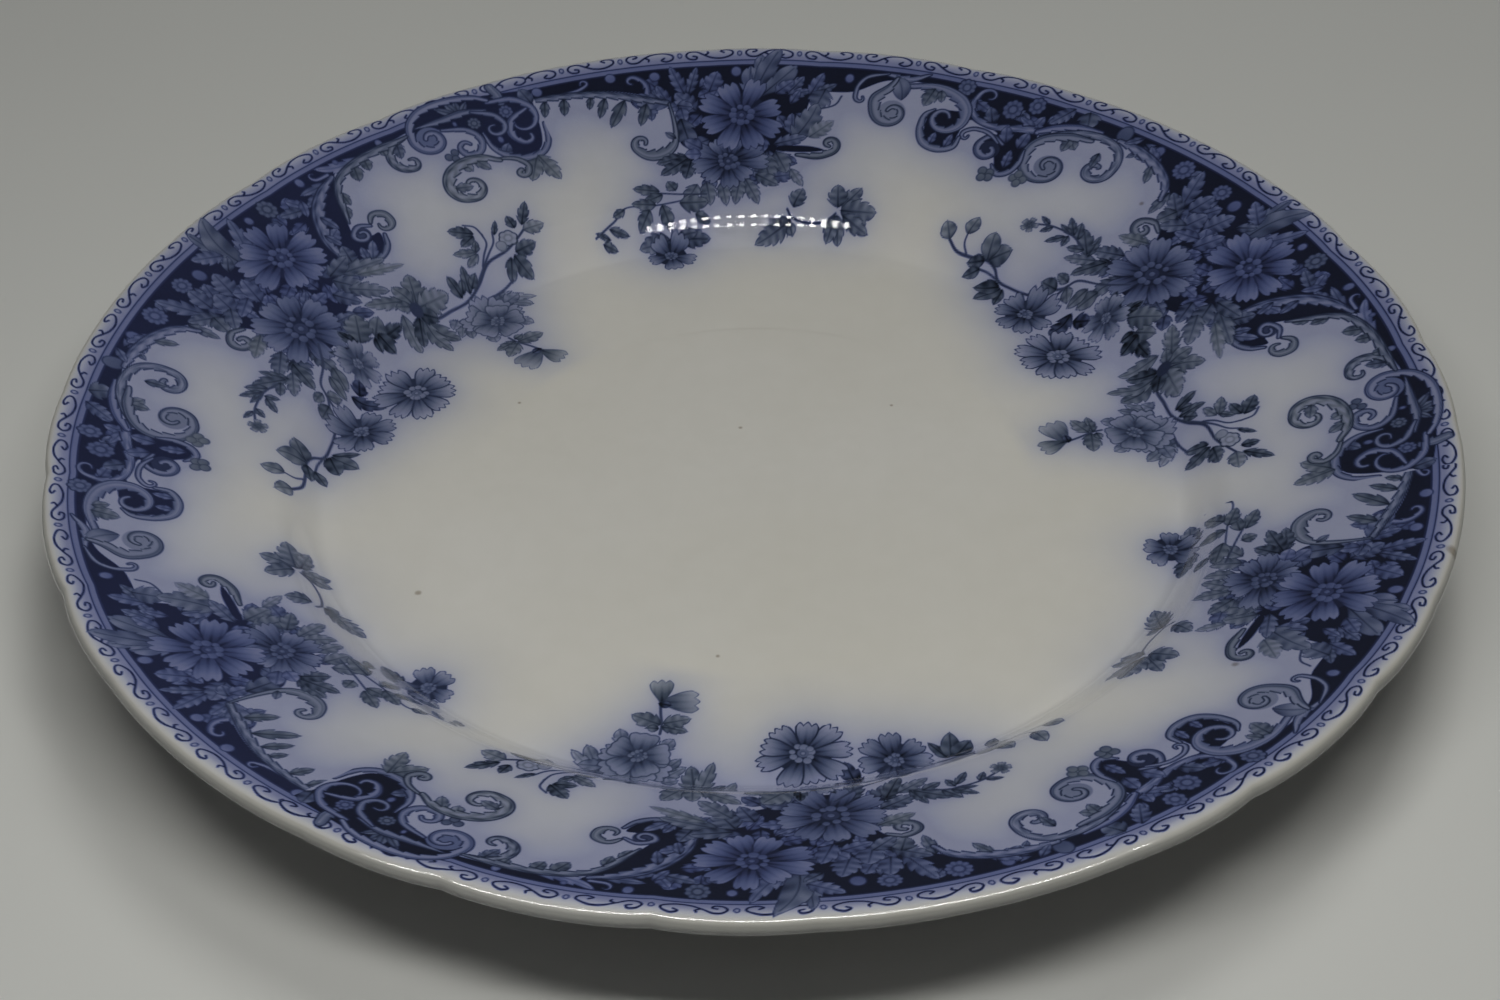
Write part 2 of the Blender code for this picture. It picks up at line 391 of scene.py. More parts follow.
def flower(centre, size, petals, turn, ink, grey, eye, seed, stretch=(1, 1), plump=1, dark=0.92, shade=0.30,
           cut=0.13, line=0.18):
    """An open flower: petals round an eye of small bumps, each a little out of place."""
    centre = plan(centre)[0]
    outward = centre / np.hypot(*centre)
    across = np.array([outward[1], -outward[0]])
    chance = np.random.default_rng(seed)
    width = 2.1 * size * math.sin(math.pi / petals) * 0.62 * plump

    def place(angle, reach):
        return centre + reach * (math.cos(angle) * stretch[0] * across
                                 + math.sin(angle) * stretch[1] * outward)

    disc(centre, 0.62 * size * min(stretch), dark, grey)
    # The even petals are laid down first, so the odd ones overlap them
    for k in [*range(0, petals, 2), *range(1, petals, 2)]:
        angle = math.radians(turn + 360 * k / petals + chance.uniform(-5, 5))
        reach = size * chance.uniform(0.90, 1.10)
        petal(place(angle, 0.12 * size), place(angle, reach), width * chance.uniform(0.92, 1.08),
              ink + chance.uniform(-0.05, 0.05), grey, dark=dark, shade=shade, cut=cut, line=line)
    disc(centre, eye * size * 0.98, dark, grey)
    for k in range(EYE_BUMPS):
        angle = 2 * math.pi * (k + chance.uniform(-0.2, 0.2)) / EYE_BUMPS
        bump = size * chance.uniform(0.065, 0.105)
        bead_at(place(angle, eye * size * chance.uniform(0.62, 0.92)), bump, bump, ink + 0.03, grey, rim=0.08)
    disc(centre, eye * size * 0.46, ink + 0.22, grey)
    bead_at(centre, eye * size * 0.22, eye * size * 0.22, ink, grey, rim=0.10)


# ---- the parts of the design ----

# The border, in mm from the axis: a pale band, its stripe with a half-width, and two dark lines
GROUND_TOP = 120.9
BORDER_BAND = (121.4, 126.0)
BORDER_FADE = (123.0, 2.6)
BORDER_STRIPE = (121.55, 0.60)
BORDER_LINES = ((GROUND_TOP, 0.18), (122.2, 0.14))
BORDER_MIDDLE = 124.0
# Its rings, in degrees: the first, the spacing and how many
BORDER_FIRST = -10.29
BORDER_SPACING = 5.935
BORDER_UNITS = 21

# One border scroll between two rings: degrees after the ring, mm above the border's middle
BORDER_SCROLL = ((1.55, 0.35), (1.85, 0.85), (1.35, 1.25), (0.75, 0.75), (0.75, -0.25), (1.65, -1.05),
                 (2.7, -0.9), (3.5, -0.1), (4.25, 0.85), (4.95, 0.8), (5.3, -0.1), (5.0, -1.0),
                 (4.4, -1.15), (4.25, -0.55), (4.6, -0.3))
BORDER_FORK = ((3.45, -0.1), (3.1, 0.35), (3.15, 0.8))


def draw_border_ground():
    """The pale band under the border scrolls, its blue stripe, and the stripe's two dark lines."""
    radius = sheet.radii[:, None] + 0 * sheet.degrees[None, :]
    everything = (slice(None), slice(None))
    tone = 0.22 - 0.20 * np.clip((radius - BORDER_FADE[0]) / BORDER_FADE[1], 0, 1)
    sheet.paint(everything, np.minimum(radius - BORDER_BAND[0], BORDER_BAND[1] - radius), tone, 0.0)
    for (middle, half), ink in zip((BORDER_STRIPE, *BORDER_LINES), (0.42, DARK, DARK)):
        sheet.paint(everything, half - np.abs(radius - middle), ink, 0.0)


def draw_border_scrolls():
    """A ring and a scroll in turn, every other scroll upside down."""
    for k in range(BORDER_UNITS):
        ring = BORDER_FIRST + k * BORDER_SPACING
        flip = 1 if k % 2 else -1
        bead((ring, BORDER_MIDDLE), 0.55, 0.72, ink=0.26, dark=0.86, rim=0.22)
        for shape in (BORDER_SCROLL, BORDER_FORK):
            points = [(ring + step, BORDER_MIDDLE + flip * rise) for step, rise in shape]
            stem(points, width=0.20, ink=0.97, grey=0.0)


def rim_edge(first, last):
    """Points along the ground's outer edge, close enough that the curve through them keeps round."""
    count = int(abs(last - first) / 5.0) + 2
    return [value for degrees in np.linspace(first, last, count) for value in (degrees, GROUND_TOP + 0.2)]


def draw_rim_ground():
    """The near-black ground behind the rim's ornament."""
    fill([4, 119.8, 9, 119.2, 13, 118.2, 14.4, 116.2, 15.4, 113, 16.3, 109.4, 17.2, 106.4, 17.6, 103.6,
          15.6, 101, 16.2, 98.2, 19, 97, 21, 96.5, 25.5, 93, 29, 91, 34, 88.5, 38, 92, 37, 99.5, 38.6, 106,
          40.4, 111, 43, 115.3, 46.2, 117.2, 49.6, 117.9, 52.6, 117.2, 55.6, 115.8, 59, 113.6, 62.6, 112.6,
          66.2, 115, 69.5, 119, 75, 118.8, 78.6, 115, 82.5, 113.8, 83.6, 108, 85, 101, 88, 97, 94.5, 98.5,
          97.8, 101.5, 97.6, 108, 98, 112, 101.2, 115, 105, 117.2, 109, 118.2, 114, 118.6]
         + rim_edge(114.0, 3.4))


# Where the ground is crowded with leaves: degrees from and to, mm from and to, and how many leaves
THICKETS = ((20.5, 39, 97, 118, 40), (40.5, 49, 116.8, 119.5, 5), (84, 97.5, 97, 117.5, 26),
            (57.5, 66, 112.5, 119, 8), (98, 103, 113, 118.5, 4), (86, 97, 90, 98, 12), (24, 40, 90, 98, 20))
THICKET_SEED = 21
THICKET_EDGE = 120.0


def draw_thickets():
    """Small dim leaves, spread at random between the larger motifs that are drawn over them."""
    chance = np.random.default_rng(THICKET_SEED)
    for first, last, inner, outer, count in THICKETS:
        for _ in range(count):
            base = plan((chance.uniform(first, last), chance.uniform(inner, outer)))[0]
            turn = chance.uniform(0, 2 * math.pi)
            length = chance.uniform(3.4, 5.6)
            tip = base + length * np.array([math.cos(turn), math.sin(turn)])
            if np.hypot(*tip) < THICKET_EDGE:
                blade(base, tip, chance.uniform(2.2, 3.2), ink=chance.uniform(0.56, 0.70),
                      grey=chance.uniform(0.05, 0.35), teeth=3, dark=0.94)


def draw_cartouche_grounds():
    """Dark ground inside the cartouches' frames."""
    fill((-9.6, GROUND_TOP, -9.4, 118, -8.8, 109.5, -7.6, 106, -4.8, 106.5, -3, 111, -1.8, 115.6, 1.2, 117.6,
          3.9, 118, 3.6, 121.4, 0.5, 123.4, -3.2, 123))
    fill((57.9, 113, 57.8, 106.5, 58.5, 102.2, 60.2, 102.4, 61.2, 105.2, 62.4, 104.4, 63.3, 107.5, 62,
          110.6, 64.8, 112, 66.2, 114, 61.5, 115))
    fill((66.4, 113.4, 66.3, 105.4, 67.8, 104.2, 69.6, 105.2, 70.1, 110, 69.8, 112.6))


def draw_left_cartouche():
    """Shell-like cartouche of scrolls at the section's start."""
    leaves(
        (-1.7, 119.2, -1.9, 123.2, 1.5), (-1.7, 119.2, -0.9, 123.6, 1.7), (-1.7, 119.2, 0.4, 122.8, 1.5),
        (-1.7, 119.2, -3, 122.2, 1.3), ink=0.66, teeth=1, fade=0.1)
    band((-4.4, 118.9, -2.2, 119.7, 0.6, 119.5, 3.4, 119.9), (0.3, 0.9, 0.8, 0.2), 0.55, 0.4)
    leaf(-9.2, 117.6, -8.6, 121.8, 3.2, 0.66, 0.5, 5)
    band((-5.9, 124.2, -6.2, 121.6, -6.3, 119.6), (0.9, 1.2, 0.8), 0.56, 0.5)
    scroll((-4.9, 120.6, -7.4, 119.8, -8.9, 117.2), (-7.2, 114.2), 0.62, 1, (0.5, 0.8, 0.8, 0.5, 0.3), 0.5,
           0.2)
    rosette((-6.3, 117.2), 1.6, 1.8, ink=0.62)
    scroll((-8.4, 116.8, -6.4, 114.9, -5.7, 111.4, -6.4, 108.9), (-7.4, 110.2), 0.45, -1,
           (0.4, 0.7, 0.9, 0.7, 0.4), 0.52, 0.2)
    scroll((-2.9, 119.3, -4.9, 117.2, -5.6, 114.4), (-4.3, 114.1), 0.85, 1, (0.35, 0.7, 0.7, 0.5, 0.3),
           0.54, 0.3)
    rosette((-2.6, 116.5), 1.5, 1.6, ink=0.64, grey=0.6, lobes=8)
    bead((-0.7, 117.7), 0.55, 0.8, ink=0.5)
    bead((-4.3, 110.9), 0.7, 1, ink=0.52)
    leaf(-3.6, 106.5, -4.9, 109.6, 2.4, 0.64, 0.4, 5)
    band((-9.6, 112.2, -9.3, 108.2, -8.2, 105.6, -6.4, 104.9, -4.4, 106.3, -3.1, 109.4, -2.9, 113.6),
         (0.4, 0.6, 0.8, 0.9, 0.8, 0.6, 0.3), 0.5, 0.3)
    scroll((-5, 121.2, -3.6, 122.8, -0.9, 123.7, 1.7, 123.4, 3.4, 121.4, 4.1, 118.8, 4.35, 116.6),
           (2.5, 116.2), 0.95, -1, (0.5, 0.8, 0.9, 0.9, 0.9, 1, 0.9, 0.5), 0.44, 0.25, core=0.52)
    scroll((0.9, 117.3, -1.4, 115.6, -2.35, 112.6, -1.9, 110.1), (-0.6, 111.7), 0.85, 1,
           (0.4, 0.7, 0.8, 0.8, 0.4), 0.52, 0.3)
    for centre in ((1.1, 111.2), (2.0, 110.6), (1.4, 109.7)):
        bead(centre, 0.9, 1.0, ink=0.66, grey=0.6)
    leaves((-7.3, 104.9, -8.6, 97.8, 3.6, 0.52, 0.9, 4), (-7, 104.3, -5.2, 99.1, 3.4, 0.54, 0.9, 3))
    scroll((-2.6, 106.8, -4.6, 105.6, -5.7, 103.4, -5.4, 101.6), (-4.6, 102), 0.75, 1,
           (0.3, 0.45, 0.6, 0.8, 0.6), 0.52, 0.8)
    leaves((-0.3, 108.3, -1.5, 104.7, 2.2, 0.54, 0.8, 2), (1, 107.9, 0.5, 105.6, 2, 0.52, 0.8, 2))
    scroll((-3, 106.2, -1.2, 108, 1.2, 108.2, 3.3, 106.3, 4.2, 103.3, 3.7, 100.6, 2.1, 99.4), (1.7, 102.5),
           0.72, -1, (0.5, 0.9, 1.1, 1.3, 1.2, 1.1, 0.9, 0.7, 0.4), 0.5, 0.85, veins=9)
    leaf(3.6, 103.2, 1.6, 102.2, 2.2, 0.55, 0.8, 3)


def draw_acanthus_arch():
    """Leafy arch over the first open field, and its hanging scrolls."""
    leaf(5.9, 118.7, 6.6, 114.4, 2.4, 0.66, 0.6, 3)
    scroll((5, 118.5, 6.7, 117.9, 7.6, 115.2, 7.3, 112.3, 5.9, 110.9), (5.9, 113), 0.55, -1,
           (0.3, 0.6, 0.9, 1, 0.9, 0.6, 0.3), 0.56, 0.7, veins=8)
    leaf(10.2, 118.7, 15.1, 120.8, 2.6, 0.42, 0.1, 3, bend=-0.1, dark=0.8)
    scroll((14.4, 118.2, 15.9, 118.4, 16.2, 119.8), (15.7, 119.9), 0.5, 1, (0.5, 0.5, 0.2), 0.46, 0.1)
    bead((17.4, 119.7), 1, 1.3, ink=0.5)
    bead((7.5, 119.9), 0.7, 0.9, ink=0.46, dark=0.6)
    bead((12.7, 119.9), 0.6, 0.7, ink=0.56, dark=0.7)
    leaves(
        (7.7, 118.2, 7.8, 116.4, 1.6), (10, 118, 10.4, 114.9, 2.4), (11.4, 117.6, 12.2, 113.7, 2.8),
        (14.8, 113.4, 15.1, 109.8, 1.8), (15.7, 110.4, 16.4, 107.3, 1.8), ink=0.6, grey=0.85, teeth=2,
        fade=0.04)
    band((4.6, 118.9, 8, 118.5, 11, 117.9, 13.6, 116.3, 15, 113.6, 15.9, 110.4, 17, 106.6),
         (0.4, 0.9, 0.9, 0.9, 0.8, 0.7, 0.3), 0.56, 0.65, veins=7, light=0.12)
    leaves(
        (15, 116.6, 18.5, 117.2, 2, 0.58, 0.3, 2), (16.4, 115.4, 19, 114.2, 2.2, 0.6, 0.3, 3),
        (19.2, 114.6, 20.3, 118.2, 2.2, 0.58, 0.2, 2), (19.6, 114.2, 22.2, 115.8, 2.6, 0.62, 0.4, 3),
        (18.9, 116.2, 19.9, 112.4, 1.8, 0.58, 0.2, 2))
    band((14.2, 117.4, 16.4, 115.4, 18.4, 112.4, 19.8, 108.8, 20.8, 105.2, 21.2, 101.6),
         (0.5, 1, 1.3, 1.3, 1.1, 0.7), 0.56, 0.3, veins=6)
    leaves((18.9, 111, 18.4, 106.6, 1.8, 0.6, 0.3, 2), (20.4, 107.2, 19.8, 103, 1.6, 0.6, 0.3, 2))
    fill((15.2, 101.6, 16, 98.6, 18, 97, 20.8, 97.8, 21.2, 101.5, 18.6, 104.6, 17.4, 101.6))
    leaves(
        (18.6, 97.2, 16.6, 100.8, 2, 0.52, 0.3, 2), (19.2, 97.6, 18.4, 100.8, 1.7, 0.6, 0.3, 2),
        (21, 98.8, 20, 103.2, 3.2, 0.66, 0.5, 4))
    band((14.8, 100.6, 15.7, 98.2, 17.5, 96.7, 20.4, 97), (0.4, 0.7, 0.7, 0.3), 0.56, 0.4)
    scroll((15, 104.4, 14.2, 105.8, 12.9, 104.7, 12.9, 102.2), (14.1, 102.8), 0.55, 1,
           (0.4, 0.7, 0.9, 0.9, 0.6, 0.3), 0.54, 0.8)
    scroll((15.3, 103.8, 16.6, 105, 18.1, 103.6), (16.9, 103), 0.85, -1, (0.4, 0.6, 0.6, 0.5, 0.4), 0.5,
           0.3, core=0.8)


def draw_first_spray():
    """The big pair of flowers with the blossoms and leaves round them."""
    leaf(29.4, 111.4, 26.2, 121.9, 3.4, 0.58, 0.25, 4, bend=0.05)
    leaf(30.2, 112.2, 30.5, 124.9, 3.2, 0.64, 0.5, 3, bend=-0.04)
    leaf(29.9, 111.6, 27.8, 125.5, 4.4, 0.6, 0.55, 3, bend=-0.12, depth=0.12)
    leaves((30.4, 116.4, 33.1, 120.1, 3.4, 0.56, 0.25, 4), (31.8, 113.4, 30.2, 115.8, 2.2, 0.64, 0.5, 5))
    rosette((22.4, 118.6), 2.1, 2.5, ink=0.64, grey=0.5, lobes=9)
    bead((24.9, 118.7), 0.95, 1.15, ink=0.5)
    bead((34.2, 116.8), 1.4, 1.6, ink=0.6)
    rosette((36.5, 117.8), 2.1, 2.1, ink=0.6, grey=0.2, lobes=10)
    leaves(
        (37.4, 110.6, 36.7, 116.4, 3.8, 0.6, 0.3, 4), (34.3, 109, 33.1, 115.2, 4.4, 0.6, 0.3, 4),
        (36.4, 106.8, 35.4, 112.2, 4.4, 0.6, 0.3, 4), (38.5, 110.6, 39.9, 119.9, 3.6, 0.58, 0.3, 4))
    rosette((41.7, 118), 2.3, 2.6, ink=0.6, grey=0.15, lobes=11)
    bead((45.3, 119.2), 1.2, 1.5, ink=0.58)
    bead((49.6, 119.8), 1.7, 2.2, ink=0.66, grey=0.4)
    leaves(
        (37.8, 108.2, 40.6, 112.6, 3.4, 0.62, 0.5, 4), (38.4, 109.4, 39.4, 105.4, 3.6, 0.62, 0.7, 4),
        (40.9, 112.2, 40.8, 105.9, 2.2, 0.58, 0.7, 3), (36.2, 108, 38.6, 104.6, 3.2, 0.58, 0.5, 4),
        (44.9, 116, 44, 111.4, 1.8, 0.56, 0.8, 2), (47, 117.4, 47.8, 115, 1.3, 0.56, 0.5, 2),
        (44.2, 115.8, 46.4, 119.6, 2.2, 0.54, 0.2, 3))
    band((41, 109.8, 42, 113.2, 44.3, 115.9, 47, 117.4, 49.6, 117.9), (0.5, 1, 1.1, 1.1, 0.6), 0.5, 0.3,
         veins=7)
    scroll((38, 103.6, 39.4, 105, 40.8, 103.8), (39.7, 102.4), 0.85, -1, (0.4, 0.7, 0.9, 0.8, 0.5), 0.54,
           0.7)
    # Leaves that back the second flower
    leaf(37.6, 100.4, 41.4, 98.6, 3, 0.5, 0.9, 4, dark=0.66)
    leaves(
        (38.6, 95.4, 42.6, 93, 3.6, 0.62, 0.6, 4), (38, 93.4, 41.6, 88, 4.2, 0.74, 0.6, 4),
        (39.6, 92.4, 42.2, 86.2, 3, 0.7, 0.8, 3), (41, 91.4, 44.8, 88.7, 2.6, 0.52, 0.7, 4),
        (36.4, 91.2, 37.4, 84.6, 3.4, 0.62, 0.7, 4), (21.6, 99, 18, 94.2, 3.6, 0.54, 0.7, 4),
        (23.4, 98.6, 17.4, 96, 3.2, 0.56, 0.7, 4))
    leaf(22, 96.4, 16.2, 92.8, 2.4, 0.42, 0.9, 4, dark=0.58)
    leaves(
        (24.6, 99.4, 20.6, 100.8, 3.4, 0.64, 0.6, 3), (24.8, 98.4, 22.6, 92.4, 4.4, 0.62, 0.6, 4),
        (24.4, 95, 20.8, 89.6, 3.8, 0.52, 0.7, 4), (26.6, 96.2, 25, 91, 3.2, 0.66, 0.4, 3),
        (30.4, 91.6, 27.4, 90.4, 2.8, 0.62, 0.4, 3))
    flower((33.8, 95.4), 8.9, 9, 10, ink=0.6, grey=0.3, eye=0.34, seed=4, plump=1.12, cut=0.1)
    flower((26.3, 108.6), 9, 9, 18, ink=0.58, grey=0.1, stretch=(1.05, 0.97), eye=0.27, seed=7, plump=1.12,
           cut=0.11)
    leaves(
        (31.9, 105.4, 34.2, 109.8, 4.2, 0.6, 0.2, 4), (33.2, 104.6, 31.8, 110.6, 3.6, 0.6, 0.2, 3),
        (33.6, 107, 36.6, 105.4, 2.8, 0.58, 0.2, 4))
    # The cluster that reaches out to the right, with its bud
    leaves(
        (42.3, 91.2, 43.1, 96.6, 1.8), (42.6, 91.6, 45.6, 96.4, 3.2), (45.2, 93.4, 46.4, 97.4, 1.9),
        (46, 94, 48, 97.5, 1.6), (46.2, 93.9, 48.5, 95.2, 1.2), (46.6, 93.5, 46.3, 90.7, 1.4),
        (46.8, 93.1, 48.7, 90.1, 1.5), (43.4, 92.2, 45.6, 91, 1.9), (49.7, 94.1, 51.3, 95.2, 1.1),
        (49.1, 93.9, 50.2, 91.8, 1.3), ink=0.6, grey=0.75, teeth=3, fade=0.04)
    stem((44, 92.6, 46.2, 93.9, 49.2, 94, 51.4, 93), 0.24)
    flower((52, 92.3), 1.9, 5, 20, ink=0.5, grey=0.8, eye=0.2, dark=0.7, seed=2)


def draw_right_cartouche():
    """The second cartouche: nested scrolls, blossoms on a dark ground, two hanging rings."""
    leaves(
        (54.2, 121.9, 53.4, 117.8, 4.2, 0.64, 0.6, 4), (55.7, 121.6, 57.4, 116.2, 3, 0.6, 0.3, 5),
        (47.6, 120.6, 49, 117.8, 1.6, 0.58, 0.3, 3))
    rosette((59.5, 119.5), 1.9, 2.3, ink=0.6, lobes=8)
    rosette((61.7, 117.2), 2.2, 2.6, ink=0.62, lobes=9)
    rosette((67.2, 120.2), 2, 2.3, ink=0.6, grey=0.3, lobes=9)
    leaves(
        (58.6, 113.6, 58.2, 117.6, 2.2, 0.56, 0.2, 3), (57.8, 113.4, 60.6, 116, 2, 0.54, 0.2, 3),
        (63, 112.6, 64, 116.6, 2.8, 0.66, 0.4, 4))
    scroll((57.2, 114, 59.6, 113.3, 62.7, 112, 65, 113.2, 65.9, 116, 65.7, 118.8), (64.5, 119), 0.78, 1,
           (0.9, 1, 0.9, 0.8, 0.8, 0.7, 0.5, 0.3), 0.52, 0.2, veins=6)
    leaves(
        (59, 108.4, 58.8, 112.8, 2.6, 0.6, 0.2, 3), (60.6, 109, 61.4, 113, 2.6, 0.58, 0.2, 3),
        (59.3, 103, 59.6, 107.6, 1.9, 0.58, 0.2, 3))
    band((51.8, 118.3, 54.2, 117.6, 56.4, 115.8, 58, 113.6), (0.4, 0.8, 0.9, 0.7), 0.5, 0.1)
    scroll((57.4, 112.8, 55.4, 114.8, 53.2, 116.6, 50.9, 117, 49, 115.6, 48.15, 112.6, 48.1, 109.6),
           (49.8, 109.7), 0.8, 1, (0.4, 0.8, 0.9, 0.9, 0.9, 0.9, 0.9, 1, 0.6), 0.52, 0.5, veins=8)
    leaves(
        (50.6, 113.6, 50.4, 109.6, 1.8, 0.64, 0.7, 3), (54.6, 114.8, 53.2, 112.2, 2.6, 0.58, 0.8, 3),
        (54.4, 114.8, 54.4, 110.9, 2.2, 0.6, 0.8, 3))
    scroll((52.2, 115.6, 54.4, 114.8, 56.4, 113.1, 57.6, 110.6, 57.8, 107.4, 57.2, 104.3, 55.5, 102.7, 53.9,
           103.5), (54.8, 106.5), 0.85, -1, (0.5, 1, 1, 1, 1.1, 1, 0.9, 0.8, 0.7, 0.4), 0.5, 0.55, core=0.4)
    for centre in ((56.4, 101.6), (57.6, 101.4), (56.9, 100.4), (57.2, 102.6)):
        bead(centre, 0.95, 1.1, ink=0.54, grey=0.9, dark=0.74)
    band((58.2, 108.4, 58, 105, 58.6, 102.2, 59.8, 101.3, 60.8, 103), (0.3, 0.6, 0.7, 0.8, 0.3), 0.5, 0.3)
    for centre in ((60.5, 101), (61.4, 101), (60.4, 99.8), (61.2, 99.4)):
        bead(centre, 1, 1.1, ink=0.6, grey=0.8, dark=0.8)
    scroll((60.8, 108.4, 62.4, 109.8, 63.4, 107.4), (62, 106.2), 0.72, -1, (0.4, 0.6, 0.8, 0.9, 0.6), 0.5,
           0.3, core=0.88)
    scroll((61.4, 108.4, 62.8, 110.2, 64.6, 110.5, 65.7, 109.2), (65.1, 108.2), 0.7, -1,
           (0.35, 0.5, 0.5, 0.5, 0.3), 0.46, 0.3)
    scroll((73, 118, 70.2, 118.7, 67.8, 117.4, 66.4, 114.6, 66.2, 111.4), (68.3, 111.6), 0.95, 1,
           (0.6, 0.9, 1.2, 1.4, 1.3, 1, 0.8, 0.6, 0.4), 0.48, 0.3)
    band((65.8, 107.6, 66.1, 104.9, 67.7, 103.7, 69.5, 104.6, 70.4, 107.6, 70.4, 111.4, 69.6, 113.2),
         (0.4, 0.7, 0.9, 0.9, 0.8, 0.7, 0.3), 0.5, 0.4)
    leaves(
        (67, 104.4, 66.7, 108, 1.5, 0.54, 0.2, 2), (68.8, 104.6, 68.6, 107.6, 1.5, 0.56, 0.2, 2),
        (70.3, 118.4, 70.9, 113.6, 3.2, 0.58, 0.8, 4), (69.6, 118.2, 69.2, 115.2, 1.8, 0.56, 0.8, 3))


def draw_hanging_volute():
    """The long volute after the second cartouche, and the block of ground beside it."""
    band((71.2, 121.6, 73, 119.8, 75.4, 120.2), (0.3, 0.9, 0.5), 0.46, 0.3)
    scroll((75.4, 120.4, 77.4, 119.2, 78.3, 116.6, 78.4, 114.4), (77.7, 113.5), 0.75, -1,
           (0.3, 0.5, 0.5, 0.5, 0.3), 0.5, 0.4)
    leaf(73.4, 114.2, 74.6, 120.2, 3.6, 0.5, 0.5, 1, bend=0.08)
    scroll((74.4, 119.6, 75, 116.8, 76.2, 113.8, 76, 110.8), (74.1, 110.9), 0.95, -1,
           (0.4, 0.9, 1.2, 1.2, 1.1, 0.9, 0.7, 0.4), 0.48, 0.6, core=0.36)
    bead((79.3, 118.3), 1.05, 1.3, ink=0.5)
    leaves((83.2, 113.4, 82, 119.4, 2.8, 0.6, 0.2, 3), (82.6, 114, 80.5, 116.6, 2, 0.66, 0.5, 3))
    leaf(81.6, 115.2, 82.5, 109.8, 4.6, 0.6, 0.5, 4, full=0.5)
    stem((79.8, 113.6, 80.4, 111.2, 82.2, 109.8), 0.2)
    leaf(84.6, 102, 82.2, 111.4, 5.2, 0.58, 0.6, 4, bend=0.05)
    leaf(82.8, 102.6, 80.2, 107.2, 3.4, 0.42, 0.8, 4, dark=0.46)
    leaf(86.8, 100.6, 83, 102.8, 3, 0.58, 0.4, 4)
    fill((80.8, 99.6, 83, 98.8, 86.4, 99, 86, 100.2, 82.8, 100.4))
    scroll((84, 98, 81.4, 98, 79.7, 99.4), (80.3, 101.2), 0.95, -1, (0.4, 0.8, 0.9, 0.8, 0.4), 0.56, 0.8)


